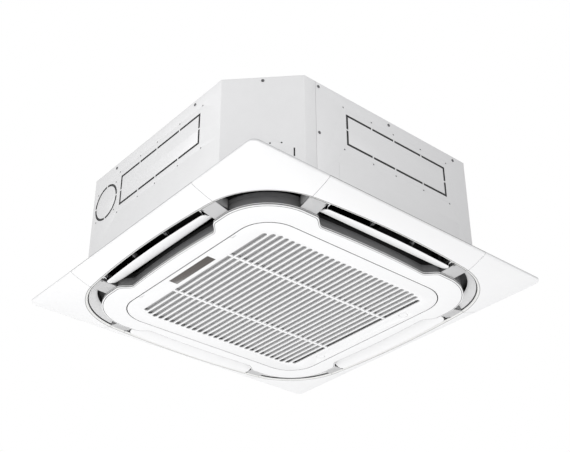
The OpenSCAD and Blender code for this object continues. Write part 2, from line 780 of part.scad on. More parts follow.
module drain_socket() {
    color("gray") rotate([0, 0, 45]) difference() {
        union() {
            bar_x(0, drain_z, drain_d / 2 - gap, riser_x, cut_reach + stub_len - over);
            bar_x(0, drain_z, drain_d / 2, cut_reach + socket_step, cut_reach + stub_len);
            translate([riser_x, 0, pump_top + 2 * bracket_t])
                cylinder(r = drain_d / 2, h = drain_z - pump_top - 2 * bracket_t);
        }
        bar_x(0, drain_z, drain_d / 2 - socket_bore, riser_x + drain_d, cut_reach + stub_len + over);
    }
}

// Bell mouth: a flat flange under the drain pan and a flared throat up to the fan
flange_half = 318;
flange_t = 2;
flare_r = 275;
throat_top = 32;
throat_wall_t = 2;
flare_n = 10;
module bell_mouth() {
    base = casing_z - flange_t;
    rise = throat_top - base;
    inner = [for (i = [0:flare_n]) let (a = 90 * i / flare_n)
        [throat_r + (flare_r - throat_r) * (1 - sin(a)), base + rise * (1 - cos(a))]];
    outer = [for (i = [flare_n:-1:0]) inner[i] + [throat_wall_t, i == 0 ? 0 : throat_wall_t / 2]];
    color("gainsboro") {
        slab(base, casing_z - gap / 3) difference() {
            round_square(flange_half, pan_hole_r);
            circle(flare_r + throat_wall_t / 2);
        }
        rotate_extrude($fn = 96) polygon(concat(inner, outer));
    }
}

// Motor, hung from the top plate on rubber mounts
motor_fall = 16;
motor_top = casing_top_z - motor_fall;
motor_h = 64;
motor_low = motor_top - motor_h;
foot_r = 98;
foot_w = 26;
foot_t = 4;
foot_fall = 10;
grommet_r = 9;
grommet_h = 14;
stud_r = 4;
boss_r = 20;
boss_h = 8;
function foot_low() = motor_top - foot_fall;
module at_feet() { for (k = [0:2]) rotate([0, 0, 120 * k]) translate([foot_r, 0, 0]) children(); }
module fan_motor() {
    color("darkgray") difference() {
        union() {
            translate([0, 0, motor_low]) cylinder(r = motor_r, h = motor_h, $fn = 96);
            translate([0, 0, motor_low - boss_h]) cylinder(r = boss_r, h = boss_h + over);
            for (k = [0:2]) rotate([0, 0, 120 * k]) translate([0, -foot_w / 2, foot_low()])
                cube([foot_r, foot_w, foot_t]);
            at_feet() translate([0, 0, foot_low()]) cylinder(r = foot_w / 2, h = foot_t);
        }
        at_feet() translate([0, 0, foot_low() - over])
            cylinder(r = grommet_r + gap / 3, h = foot_t + 2 * over);
        translate([0, 0, motor_low - boss_h - over])
            cylinder(r = shaft_r + run_fit, h = motor_h / 2 + boss_h);
    }
}
module motor_grommets() {
    color("black") at_feet() translate([0, 0, foot_low() - (grommet_h - foot_t) / 2]) difference() {
        union() {
            cylinder(r = grommet_r, h = grommet_h);
            cylinder(r = grommet_r + bush_lip, h = (grommet_h - foot_t) / 2 - gap / 3);
            translate([0, 0, (grommet_h + foot_t) / 2 + gap / 3])
                cylinder(r = grommet_r + bush_lip, h = (grommet_h - foot_t) / 2 - gap / 3);
        }
        translate([0, 0, -over]) cylinder(r = stud_r + gap / 3, h = grommet_h + 2 * over);
    }
}
stud_nut_r = 8;
stud_nut_h = 6;
module motor_studs() {
    low = foot_low() - (grommet_h - foot_t) / 2;
    color("silver") at_feet() {
        translate([0, 0, low - stud_nut_h])
            cylinder(r = stud_r, h = casing_top_z - sheet_t - low + stud_nut_h);
        translate([0, 0, low - stud_nut_h]) cylinder(r = stud_nut_r, h = stud_nut_h - gap / 3, $fn = 6);
    }
}

// Turbo fan: hub cup, back plate, blades and inlet shroud
back_t = 3;
back_fall = 52;
back_z = casing_top_z - back_fall;
hub_fall = 18;
hub_z = motor_low - hub_fall;
hub_t = 4;
cup_in = 86;
cup_out = 96;
hub_boss_r = 16;
hub_boss_h = 16;
shroud_z = 26;
shroud_gap = 8;
shroud_in_r = throat_r + shroud_gap;
shroud_rise = 30;
shroud_t = 3;
blade_t = 3;
blade_in_r = 150;
blade_arc_r = 110;
blade_share = 1.3;
blade_drop_share = 0.92;
module turbo_fan() {
    color("whitesmoke") difference() {
        union() {
            rotate_extrude($fn = 96) polygon([[0, hub_z], [cup_in, hub_z], [cup_out, back_z],
                [fan_r, back_z], [fan_r, back_z + back_t], [cup_out - hub_t, back_z + back_t],
                [cup_in - hub_t, hub_z + hub_t], [0, hub_z + hub_t]]);
            translate([0, 0, hub_z - hub_boss_h / 2]) cylinder(r = hub_boss_r, h = hub_boss_h);
            rotate_extrude($fn = 96) polygon([[shroud_in_r, shroud_z], [shroud_in_r + shroud_t, shroud_z],
                [fan_r, shroud_z + shroud_rise], [fan_r, shroud_z + shroud_rise + shroud_t],
                [shroud_in_r, shroud_z + shroud_t]]);
            intersection() {
                rotate_extrude($fn = 96) polygon([[blade_in_r, shroud_z + shroud_rise / 2],
                    [shroud_in_r + shroud_t, shroud_z + shroud_t / 2],
                    [fan_r - over, shroud_z + shroud_rise + shroud_t / 2],
                    [fan_r - over, back_z + back_t / 2], [blade_in_r, back_z + back_t / 2]]);
                for (k = [1:blade_count]) rotate([0, 0, 360 * k / blade_count])
                    translate([blade_in_r * blade_share, -blade_arc_r * blade_drop_share, shroud_z])
                        slab(0, back_z - shroud_z + back_t) difference() {
                            circle(blade_arc_r, $fn = 96);
                            circle(blade_arc_r - blade_t, $fn = 96);
                            translate([-reach, -reach / 2]) square(reach);
                            translate([-reach / 2, -reach]) square(reach);
                        }
            }
        }
        translate([0, 0, hub_z - hub_boss_h]) cylinder(r = shaft_r + gap / 10, h = 2 * hub_boss_h);
    }
}
shaft_low = hub_z - hub_boss_h;
module fan_shaft() {
    color("silver") translate([0, 0, shaft_low])
        cylinder(r = shaft_r, h = motor_low + motor_h / 4 - shaft_low);
}
fan_nut_r = 11;
fan_nut_h = 7;
module fan_nut() {
    color("silver") translate([0, 0, hub_z - hub_boss_h / 2 - fan_nut_h - gap / 10]) difference() {
        cylinder(r = fan_nut_r, h = fan_nut_h, $fn = 6);
        translate([0, 0, -over]) cylinder(r = shaft_r + gap / 10, h = fan_nut_h + 2 * over);
    }
}

// Control box, below the bell mouth's flange
box_low_y = 236;
box_high_y = 312;
box_half_x = 150;
box_top = casing_z - flange_t - gap / 3;
box_h = 34;
box_wall = 1.5;
box_low = box_top - box_h;
module control_box() {
    color("silver") difference() {
        span_box([-box_half_x, box_low_y, box_low], [box_half_x, box_high_y, box_top]);
        span_box([-box_half_x + box_wall, box_low_y + box_wall, box_low - over],
            [box_half_x - box_wall, box_high_y - box_wall, box_top - box_wall]);
    }
}
cover_screw_share = 0.9;
module control_box_cover() {
    color("lightgray") span_box([-box_half_x, box_low_y, box_low - gap / 3 - box_wall],
        [box_half_x, box_high_y, box_low - gap / 3]);
    color("lightgray") for (x = [-1, 1])
        translate([x * box_half_x * cover_screw_share, (box_low_y + box_high_y) / 2,
            box_low - gap / 3 - 2 * box_wall])
            cylinder(r = screw_head_r, h = 1.5 * box_wall);
}
board_t = 1.6;
board_half_x = 90;
board_fall = 10;
chip_w = 14;
stub_share = 0.9;
stub_row_shares = [0.2, 0.8];
module circuit_board() {
    y0 = box_low_y + 3 * box_wall;
    color("darkgreen") span_box([-board_half_x, y0, box_top - board_fall],
        [board_half_x, box_high_y - 3 * box_wall, box_top - board_fall + board_t]);
    color("black") for (i = [-2:2])
        translate([i * 2 * chip_w, y0 + 2 * chip_w, box_top - board_fall - board_t])
            cube([chip_w, chip_w, 2 * board_t], center = true);
    color("silver") for (x = [-1, 1], y = stub_row_shares)
        translate([x * board_half_x * stub_share, y0 + (box_high_y - y0) * y, box_top - board_fall])
            cylinder(r = stub_r, h = board_fall - box_wall - gap / 3);
}
terminal_x = box_half_x - 50;
terminal_n = 4;
terminal_w = 10;
terminal_d = 22;
terminal_h = 14;
terminal_hole_shares = [0.25, 0.75];
module terminal_block() {
    y0 = (box_low_y + box_high_y - terminal_d) / 2;
    color("ivory") for (i = [0:terminal_n - 1])
        difference() {
            span_box([terminal_x + i * terminal_w, y0, box_top - box_wall - terminal_h],
                [terminal_x + (i + 1) * terminal_w, y0 + terminal_d, box_top - box_wall - gap / 3]);
            for (f = terminal_hole_shares) translate([terminal_x + (i + 0.5) * terminal_w, y0 + terminal_d * f,
                box_top - box_wall - terminal_h - over])
                cylinder(r = terminal_w / 4, h = terminal_h / 2, $fn = 24);
        }
}

// Panel mouldings: the outer frame's band runs along each side, and steps up into a
// tray behind the cover at each corner
seam_step = 0.1;
module panel_frame() {
    quarter = concat(side_sections(frame_section), corner_sections(tray_section, seam_s + seam_step));
    color("white")
        loft([for (k = [0:3]) for (s = quarter) [for (p = s) turned_up(p, k)]], closed = true);
}
seam_gap_panel = 0.8;
module corner_covers() {
    color("white") at_sides() loft(corner_sections(cover_section, seam_s + seam_gap_panel));
}
grille_gap = 1.8;
opening_half = grille_half + grille_gap;
opening_r = grille_r + grille_gap;
wall_top_fall = 24;
frame_side_h = 6.6;
frame_side_t = 2;
frame_back_step = 0.8;
sag_share = 0.2;
mid_share = 0.5;
back_share = 0.3;
function frame_entries(drop) = let (edge_z = arris_z - frame_edge_drop - drop)
    [[0, 0, arris_z - wall_top_fall], [0, 0, face_z + edge_break],
     [0, edge_break, face_z], [mid_share, 0, face_z + sag_share * (face_drop - frame_edge_drop)],
     [1, -edge_break, edge_z], [1, 0, edge_z + edge_break],
     [1, 0, edge_z + frame_side_h], [1, -frame_side_t, edge_z + frame_side_h],
     [1, -frame_side_t, edge_z + shell_t],
     [back_share, 0, face_z + shell_t + frame_back_step],
     [0, shell_t, face_z + shell_t + frame_back_step], [0, shell_t, arris_z - wall_top_fall]];
inner_straight = opening_half - opening_r;
function inner_quarter() = concat(
    [for (s = edge_s) [s * inner_straight / notch_end, opening_half]],
    [for (i = [0:edge_corner_n]) let (a = 90 * i / edge_corner_n)
        [inner_straight + opening_r * sin(a), inner_straight + opening_r * cos(a)]]);
module centre_frame() {
    out = edge_quarter(0);
    in = inner_quarter();
    color("white") loft([for (k = [0:3]) for (i = [0:len(out) - 2])
        section_on(turned(in[i], k), turned([out[i][0], out[i][1]], k),
            backward(frame_entries(out[i][2])))],
        closed = true);
}
bridge_t = 2;
bridge_drop = 24;
bridge_gap = 0.5;
// Both edges of a bridge plate slant: each is given by its two places along the side, at two depths
slant_t = [370, 415];
bridge_in = [206.8, 211];
bridge_end = [254, 260.4];
zone_t = [330, 450];
function slant_at(edge, t) = edge[0] + (edge[1] - edge[0]) * (t - slant_t[0]) / (slant_t[1] - slant_t[0]);
module bridge_zone(low, high) {
    at_sides() for (m = [0, 1]) mirror([m, 0]) polygon([
        [slant_at(low, zone_t[0]), zone_t[0]], [slant_at(high, zone_t[0]), zone_t[0]],
        [slant_at(high, zone_t[1]), zone_t[1]], [slant_at(low, zone_t[1]), zone_t[1]]]);
}
function moved(edge, by) = [edge[0] + by, edge[1] + by];
module bridge_plates() {
    color("lightgray") slab(arris_z - bridge_drop, arris_z - bridge_drop + bridge_t) intersection() {
        air_ring(bridge_gap, -bridge_gap);
        bridge_zone(bridge_in, bridge_end);
    }
}
throat_inset = 4;
throat_t = 2.5;
throat_low = arris_z - frame_edge_drop + shell_t + 0.7 * gap;
end_wall_t = 2.5;
module throat_wall() {
    color("dimgray") {
        slab(throat_low, casing_z - gap / 3) difference() {
            edge_outline(-throat_inset);
            edge_outline(-throat_inset - throat_t);
        }
        slab(arris_z - bridge_drop + bridge_t + gap / 3, ledge_low - gap) intersection() {
            air_ring(-throat_inset - throat_t / 2, -bridge_gap);
            bridge_zone(moved(bridge_end, -end_wall_t - gap), moved(bridge_end, -gap));
        }
    }
}
ledge_drop = 1.2;
ledge_t = 3.2;
ledge_low = ceiling_z - ledge_drop;
deflector_inset = 5;
deflector_low_r = lip_corner_r - deflector_inset;
deflector_high_r = 169.5;
deflector_lift = 3;
deflector_low = lip_z + deflector_lift;
deflector_t = 2.5;
deflector_high = ledge_low - gap - deflector_t;
module corner_deflectors() {
    edge = moved(bridge_end, 2 * gap);
    near = [slant_at(edge, zone_t[0]), zone_t[0]];
    far = [slant_at(edge, reach), reach];
    color("white") at_sides() intersection() {
        translate([lip_c, lip_c, 0]) rotate_extrude($fn = 128) polygon([
            [deflector_low_r, deflector_low], [deflector_high_r, deflector_high],
            [deflector_high_r, deflector_high + deflector_t],
            [deflector_low_r, deflector_low + 1.5 * deflector_t]]);
        slab(face_z, 0) polygon([near, far, [reach, reach], [far.y, far.x], [near.y, near.x],
            [zone_t[0], zone_t[0]]]);
    }
}
// Foam duct: a ring round the outlet, a ledge over it, and a collar inside the casing's outline
foam_grow = [4, 16];
foam_drop = 12;
foam_t = 10;
seal_t = 2.5;
module foam_collar() {
    difference() {
        octagon(sheet_t);
        octagon(sheet_t + foam_t);
    }
}
module duct_foam() {
    color("black") {
        slab(arris_z - foam_drop, ledge_low + ledge_t) difference() {
            lip_outline(foam_grow[1]);
            lip_outline(foam_grow[0]);
        }
        slab(ledge_low, ledge_low + ledge_t) difference() {
            lip_outline(foam_grow[1]);
            octagon(sheet_t + foam_t);
        }
        slab(ledge_low, casing_z - seal_t) foam_collar();
    }
}
module panel_seal() {
    color("gray") slab(casing_z - seal_t + gap / 3, casing_z - gap / 3) foam_collar();
}
panel_screw_r = 3;
panel_screw_head_r = 7;
panel_screw_head_h = 3;
panel_screw_s = 234;
panel_screw_len = 30;
// Four long screws, one over a bridge plate beside each flap, hold the panel up to the casing
module panel_screws() {
    t = edge_at(panel_screw_s) - throat_inset + panel_screw_head_r + over;
    low = arris_z - bridge_drop + bridge_t + gap / 3;
    color("silver") at_sides() translate([-panel_screw_s, t, low]) {
        cylinder(r = panel_screw_head_r, h = panel_screw_head_h);
        cylinder(r = panel_screw_r, h = casing_z - low - gap / 3);
    }
}

// Flaps, modelled on the +Y side of the panel and turned to the others
motor_len = 18;
flap_out = 12.5;
flap_out_drop = 12;
flap_in = 54.5;
flap_in_drop = 16;
flap_bow = 8;
flap_end_r = 11;
flap_tuck = 20;
tuck_over = 2;
flap_n = 7;
ear_t = 3;
ear_r = 6;
mid_arm_s = 65;
mid_pin_r = 2.5;
arm_t = 4;
bearing_t = 3.5;
bearing_s = 211;
flap_edge_share = 2.5;
flap_s_shares = [0, 0.2, 0.4, 0.6, 0.8, 0.88];
function end_shrink(s, r) = let (k = abs(s) - (flap_half_len - r))
    k <= 0 ? 0 : r - sqrt(max(0, r * r - k * k));
function flap_section(s) = let (
    out = flap_out - flap_bow * pow(s / flap_half_len, 2) - end_shrink(s, flap_end_r),
    tuck = flap_tuck * smooth(clamp01((abs(s) - notch_flat) / (notch_end - notch_flat + tuck_over))),
    inn = -flap_in + tuck + end_shrink(s, flap_end_r) / 4,
    full = flap_out + flap_in)
    [for (i = [0:2 * flap_n - 1]) let (
        q = i <= flap_n ? i / flap_n : (2 * flap_n - i) / flap_n,
        v = (1 - cos(180 * q)) / 2,
        t = out + (inn - out) * v,
        f = (flap_out - t) / full,
        side = i <= flap_n ? -1 : 1,
        thick = flap_t / 2 * min(1, flap_edge_share * sin(180 * q)))
        [s, t, -flap_out_drop - (flap_in_drop - flap_out_drop) * f
            - 4 * flap_camber * f * (1 - f) + side * thick]];
flap_half = concat([for (f = flap_s_shares) f * flap_half_len],
    [for (a = [0, 30, 60, 90]) flap_half_len - flap_end_r * (1 - sin(a))]);
flap_stations = concat([for (i = [len(flap_half) - 1:-1:1]) -flap_half[i]], flap_half);
// Ear from the pivot down into the flap, as a plate across the flap
ear_shares = [0.9, 0.1, 1.35, 0.7, 1.55];
module flap_ear(s, r) {
    translate([s, 0, 0]) rotate([90, 0, 90]) linear_extrude(ear_t) {
        circle(r);
        polygon([[r * ear_shares[0], 0], [flap_out * ear_shares[1], -flap_out_drop * ear_shares[2]],
            [-flap_out * ear_shares[3], -flap_out_drop * ear_shares[4]], [-r * ear_shares[0], 0]]);
    }
}
module flap_body() {
    translate([0, pivot_t, pivot_z]) rotate([-flap_open_angle, 0, 0]) {
        loft(flap_sections());
        for (m = [0, 1]) mirror([m, 0, 0]) {
            flap_ear(flap_half_len - 2 * ear_t, ear_r);
            bar_x(0, 0, pin_r, flap_half_len - 1.5 * ear_t, bearing_s + bearing_t);
            flap_ear(mid_arm_s + arm_t / 2 + gap, arm_r);
            bar_x(0, 0, mid_pin_r, mid_arm_s - arm_t / 2 - gap, mid_arm_s + arm_t / 2 + gap + ear_t / 2);
        }
    }
}
function flap_sections() = [for (s = flap_stations) flap_section(s)];
module flap_back() { color("white") flap_body(); }
module flap_left() { color("white") rotate([0, 0, 90]) flap_body(); }
module flap_front() { color("white") rotate([0, 0, 180]) flap_body(); }
module flap_right() { color("white") rotate([0, 0, 270]) flap_body(); }
arm_r = 4.8;
arm_low_share = 0.8;
module flap_bearings() {
    low = arris_z - bridge_drop + bridge_t + gap / 3;
    wall_top = arris_z - wall_drop + gap / 3;
    color("dimgray") at_sides() for (m = [0, 1]) mirror([m, 0, 0]) {
        difference() {
            span_box([bearing_s, edge_at(bearing_s) - throat_inset + gap, low],
                [bearing_s + bearing_t, lip_at(bearing_s) - over, ledge_low - gap]);
            bar_x(pivot_t, pivot_z, pin_r + run_fit, bearing_s - over, bearing_s + bearing_t + over);
        }
        translate([mid_arm_s - arm_t / 2, 0, 0]) difference() {
            rotate([90, 0, 90]) linear_extrude(arm_t) {
                translate([pivot_t, pivot_z]) circle(arm_r);
                polygon([[pivot_t, pivot_z - arm_r * arm_low_share],
                    [lip_at(mid_arm_s) - over, wall_top],
                    [lip_at(mid_arm_s) + foam_grow[0] - gap, wall_top],
                    [lip_at(mid_arm_s) + foam_grow[0] - gap, wall_top + 2 * arm_r],
                    [pivot_t, pivot_z + arm_r]]);
            }
            bar_x(pivot_t, pivot_z, mid_pin_r + run_fit, -over, arm_t + over);
        }
    }
}
stepper_r = 9.8;
stepper_tab = 3;
// The stepper's body lies beside its shaft
stepper_off = 8;
stepper_shaft_r = 3.2;
module flap_motors() {
    start = bearing_s + bearing_t + gap;
    mid_t = pivot_t - stepper_off;
    low = arris_z - bridge_drop + bridge_t + gap / 3;
    color("silver") at_sides() {
        bar_x(mid_t, pivot_z, stepper_r, start + gap, start + motor_len);
        bar_x(pivot_t, pivot_z, stepper_shaft_r, start, start + stepper_tab);
        span_box([start + stepper_tab, mid_t - stepper_r / 2, low],
            [start + 2 * stepper_tab, mid_t + stepper_r / 2, pivot_z]);
        span_box([start + motor_len / 2, mid_t - stepper_r - stepper_tab, pivot_z - stepper_tab],
            [start + motor_len, mid_t, pivot_z + stepper_tab]);
    }
}

// Intake grille, hinged along its -X edge
hinge_inset = 4.5;
hinge_x = hinge_inset - grille_half;
hinge_lift = 1.5;
hinge_z = face_z + hinge_lift;
hinge_y = 190;
hinge_pin_r = 1.3;
// Each block is a clip, open at its underside
clip_wall = 1.3;
clip_low = 0.9;
clip_high = 3;
block_w = 14;
notch_w = 16;
notch_x = 8;
plate_deep = 3.5;
grille_rim = 2.5;
grille_rim_h = 12;
rib_back = 7;
rib_face = 1.5;
slot_trim = [15, 5];
module hinge_blocks() {
    color("white") for (y = [-hinge_y, hinge_y]) difference() {
        span_box([-opening_half + gap / 3, y - block_w / 2, hinge_z - clip_low],
            [hinge_x + hinge_pin_r + clip_wall, y + block_w / 2, hinge_z + clip_high]);
        bar_y(hinge_x, hinge_z, hinge_pin_r + run_fit, y - block_w, y + block_w);
    }
}
button_x = grille_half - 26.5;
button_y = 164;
button_r = 11.5;
button_gap = 0.4;
window_in = [12.5, 37.5];
window_x = [window_in[0] - grille_half, window_in[1] - grille_half];
window_half_y = 80;
function slot_len(i) = let (e = min(i, slot_count - 1 - i))
    slot_half_len - (e < len(slot_trim) ? slot_trim[e] : 0);
module grille_slots() {
    r = slot_w / 2;
    for (i = [0:slot_count - 1]) let (h = slot_len(i) - r)
        translate([(i - (slot_count - 1) / 2) * slot_pitch, 0]) {
            square([slot_w, 2 * h], center = true);
            for (y = [-h, h]) translate([0, y]) circle(r);
        }
}
module intake_grille() {
    color("white") difference() {
        union() {
            slab(face_z, face_z + plate_deep) difference() {
                round_square(grille_half, grille_r);
                grille_slots();
                translate([window_x[0], -window_half_y])
                    square([window_x[1] - window_x[0], 2 * window_half_y]);
                for (y = [-button_y, button_y]) translate([button_x, y]) circle(button_r + button_gap);
            }
            slab(face_z + plate_deep / 2, face_z + grille_rim_h) difference() {
                round_square(grille_half, grille_r);
                round_square(grille_half - grille_rim, grille_r - grille_rim);
            }
            for (y = [-rib_y, rib_y]) {
                reach_x = slot_pitch * slot_count / 2;
                span_box([-reach_x, y - rib_w / 2, face_z + rib_face],
                    [reach_x, y + rib_w / 2, face_z + rib_back]);
            }
        }
        for (y = [-hinge_y, hinge_y])
            span_box([-grille_half - over, y - notch_w / 2, face_z - over],
                [-grille_half + notch_x, y + notch_w / 2, face_z + grille_rim_h + over]);
    }
    color("white") for (y = [-hinge_y, hinge_y])
        bar_y(hinge_x, hinge_z, hinge_pin_r, y - notch_w / 2 - over, y + notch_w / 2 + over);
}
filter_half = 268;
filter_bar = 8;
filter_t = 4;
filter_low = face_z + rib_back + gap / 3;
mesh_t = 0.8;
module filter_frame() {
    color("gray") slab(filter_low, filter_low + filter_t) {
        difference() {
            round_square(filter_half, filter_bar);
            square(2 * (filter_half - filter_bar), center = true);
        }
        for (f = [-0.5, 0, 0.5]) translate([0, filter_half * f])
            square([2 * filter_half - filter_bar, filter_bar / 2], center = true);
        square([filter_bar / 2, 2 * filter_half - filter_bar], center = true);
    }
}
module filter_mesh() {
    color("dimgray") slab(filter_low + filter_t + gap / 3, filter_low + filter_t + gap / 3 + mesh_t)
        square(2 * (filter_half - filter_bar / 2), center = true);
}
window_gap = 0.2;
window_t = 4;
module display_window() {
    color("darkslategray") {
        span_box([window_x[0] + window_gap, -window_half_y + window_gap, face_z],
            [window_x[1] - window_gap, window_half_y - window_gap, face_z + window_t]);
        span_box([window_x[0] - stepper_tab, -window_half_y - stepper_tab, face_z + plate_deep + gap / 3],
            [window_x[1] + stepper_tab, window_half_y + stepper_tab, face_z + plate_deep + window_t]);
    }
}
collar_r = 14;
collar_h = 1.5;
button_stem_r = 4;
button_travel = 4;
module latch_button(y) {
    color("white") translate([button_x, y, 0]) {
        translate([0, 0, face_z]) cylinder(r = button_r, h = plate_deep + collar_h);
        translate([0, 0, face_z + plate_deep + gap / 3]) cylinder(r = collar_r, h = collar_h);
        translate([0, 0, face_z + plate_deep]) cylinder(r = button_stem_r, h = grille_rim_h);
    }
}
module latch_button_left() { latch_button(button_y); }
module latch_button_right() { latch_button(-button_y); }

top_plate();
casing_sheet_left();
casing_sheet_front();
casing_sheet_right();
casing_sheet_back();
casing_screws();
hanger_brackets();
hanger_bolts();
wall_liner();
top_liner();
coil_fins();
coil_end_plates();
coil_return_bends();
gas_header();
liquid_header();
gas_pipe();
liquid_pipe();
flare_nuts();
pipe_cover_plate();
cable_bush();
drain_pan();
drain_pump();
pump_bracket();
pump_impeller();
drain_socket();
float_stem();
float_ring();
bell_mouth();
fan_motor();
motor_grommets();
motor_studs();
turbo_fan();
fan_shaft();
fan_nut();
control_box();
control_box_cover();
circuit_board();
terminal_block();
panel_frame();
corner_covers();
centre_frame();
bridge_plates();
throat_wall();
corner_deflectors();
duct_foam();
panel_seal();
panel_screws();
flap_motors();
flap_bearings();
flap_front();
flap_right();
flap_back();
flap_left();
hinge_blocks();
intake_grille();
filter_frame();
filter_mesh();
display_window();
latch_button_left();
latch_button_right();
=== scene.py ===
# Looks of a four-way ceiling cassette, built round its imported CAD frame.
# Lengths are in millimetres in the row frame, and each mesh is scaled to metres when it is made.
import json
import math

import bmesh
import bpy
from mathutils import Matrix, Vector

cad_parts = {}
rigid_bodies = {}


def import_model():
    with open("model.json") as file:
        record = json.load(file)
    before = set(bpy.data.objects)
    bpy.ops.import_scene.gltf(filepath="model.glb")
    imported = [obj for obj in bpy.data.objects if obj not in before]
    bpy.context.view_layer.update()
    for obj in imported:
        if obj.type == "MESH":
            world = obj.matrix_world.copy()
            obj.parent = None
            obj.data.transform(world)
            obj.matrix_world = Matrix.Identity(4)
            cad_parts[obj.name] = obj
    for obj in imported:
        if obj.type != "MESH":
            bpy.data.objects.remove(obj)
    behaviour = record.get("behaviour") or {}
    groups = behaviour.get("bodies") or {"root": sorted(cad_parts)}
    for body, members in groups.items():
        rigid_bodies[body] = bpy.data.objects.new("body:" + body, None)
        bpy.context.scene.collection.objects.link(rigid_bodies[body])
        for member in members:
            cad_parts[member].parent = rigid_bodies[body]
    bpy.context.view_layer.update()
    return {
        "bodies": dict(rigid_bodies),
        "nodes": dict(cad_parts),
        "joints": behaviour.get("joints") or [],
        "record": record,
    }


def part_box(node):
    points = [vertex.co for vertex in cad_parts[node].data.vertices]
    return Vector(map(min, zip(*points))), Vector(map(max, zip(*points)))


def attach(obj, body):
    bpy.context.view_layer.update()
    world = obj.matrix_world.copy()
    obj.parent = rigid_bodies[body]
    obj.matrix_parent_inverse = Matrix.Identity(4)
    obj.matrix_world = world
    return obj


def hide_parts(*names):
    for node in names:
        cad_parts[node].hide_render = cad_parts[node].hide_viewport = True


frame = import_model()

MM = 0.001
QUARTER_TURNS = ((1, 0), (0, 1), (-1, 0), (0, -1))
BODY_OF = {n: b for b, nodes in frame["record"]["behaviour"]["bodies"].items() for n in nodes}
SLOT_OF = {part["node"]: part["material_slot"] for part in frame["record"]["subparts"]}


def box_mm(node):
    low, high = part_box(node)
    return low / MM, high / MM


# Levels and plan sizes, from the frame
RIM_T = 6
PANEL_HALF = box_mm("panel_frame")[1].x
CEILING_Z = box_mm("panel_frame")[1].z
ARRIS_Z = CEILING_Z - RIM_T
FACE_Z = box_mm("intake_grille")[0].z
CASING_Z = box_mm("casing_sheet_left")[0].z
CASING_TOP_Z = box_mm("casing_sheet_left")[1].z
CASING_HALF = box_mm("casing_sheet_right")[1].x

# Outlet ring
LIP_HALF = 424
LIP_SIDE_R = 2404
LIP_CORNER_R = 187
LIP_Z = ARRIS_Z - 22
LIP_K = LIP_SIDE_R - LIP_HALF
LIP_D = LIP_SIDE_R - LIP_CORNER_R
LIP_C = (-2 * LIP_K + math.sqrt(4 * LIP_K**2 - 8 * (LIP_K**2 - LIP_D**2))) / 4
LIP_SIDE_END = LIP_C + LIP_CORNER_R * LIP_C / LIP_D
SHELL_T = 3
BAND_SAG = 0.25
BEAD_W = 5
BEAD_STEP = 1
BEAD_FULL = BEAD_W + BEAD_STEP
WALL_DROP = 14
RIM_W = 7
PANEL_R = 18
SEAM_S = 257.4
COVER_START = SEAM_S + 1.3
TRAY_START = SEAM_S + 0.1
COVER_T = 2.2

# Centre frame
FRAME_HALF = 371
FRAME_R = 134
FRAME_STRAIGHT = FRAME_HALF - FRAME_R
FRAME_DROP = 33
FRAME_SIDE_H = 6.6
FRAME_SIDE_T = 2
NOTCH_DEPTH = 22
NOTCH_BOW = 3
NOTCH_FLAT = 165
NOTCH_END = 205
NOTCH_DROP = 2
OPENING_HALF = 311.3
OPENING_R = 85.8
THROAT_INSET = 4
THROAT_T = 2.5


def clamp01(a):
    return min(max(a, 0.0), 1.0)


def smooth(a):
    return a * a * (3 - 2 * a)


def steps(low, high, count):
    return [low + (high - low) * i / count for i in range(count + 1)]


def turned(p, k):
    """A point of the +Y side carried to side k: 0 back, 1 right, 2 front, 3 left."""
    c, s = QUARTER_TURNS[k]
    return (p[0] * c + p[1] * s, p[1] * c - p[0] * s, *p[2:])


def lip_at(s):
    if abs(s) < LIP_SIDE_END:
        return math.sqrt(LIP_SIDE_R**2 - s * s) - LIP_K
    return LIP_C + math.sqrt(LIP_CORNER_R**2 - (abs(s) - LIP_C) ** 2)


def notch_share(s):
    return 1 - smooth(clamp01((abs(s) - NOTCH_FLAT) / (NOTCH_END - NOTCH_FLAT)))


def edge_at(s):
    bow = NOTCH_BOW * (1 - 2 * (s / NOTCH_FLAT) ** 2)
    return FRAME_HALF - notch_share(s) * (NOTCH_DEPTH - bow)


def fall(share):
    """Level of the panel's band, from its lip at share 0 to its rim at share 1."""
    return ARRIS_Z - (ARRIS_Z - LIP_Z) * (1 - share) * (1 + BAND_SAG * share)


def arc(x, y, r, start, end, count):
    """Points round a centre, between two angles in degrees."""
    return [
        (x + r * math.cos(math.radians(a)), y + r * math.sin(math.radians(a)))
        for a in steps(start, end, count)
    ]


def round_square(half, r, count=10):
    """Outline of a square with round corners, counter-clockwise."""
    c = half - r
    points = []
    for x, y, start in ((c, c, 0), (-c, c, 90), (-c, -c, 180), (c, -c, 270)):
        points += arc(x, y, r, start, start + 90, count)
    return points


def rect(x0, x1, y0, y1):
    return [(x0, y0), (x1, y0), (x1, y1), (x0, y1)]


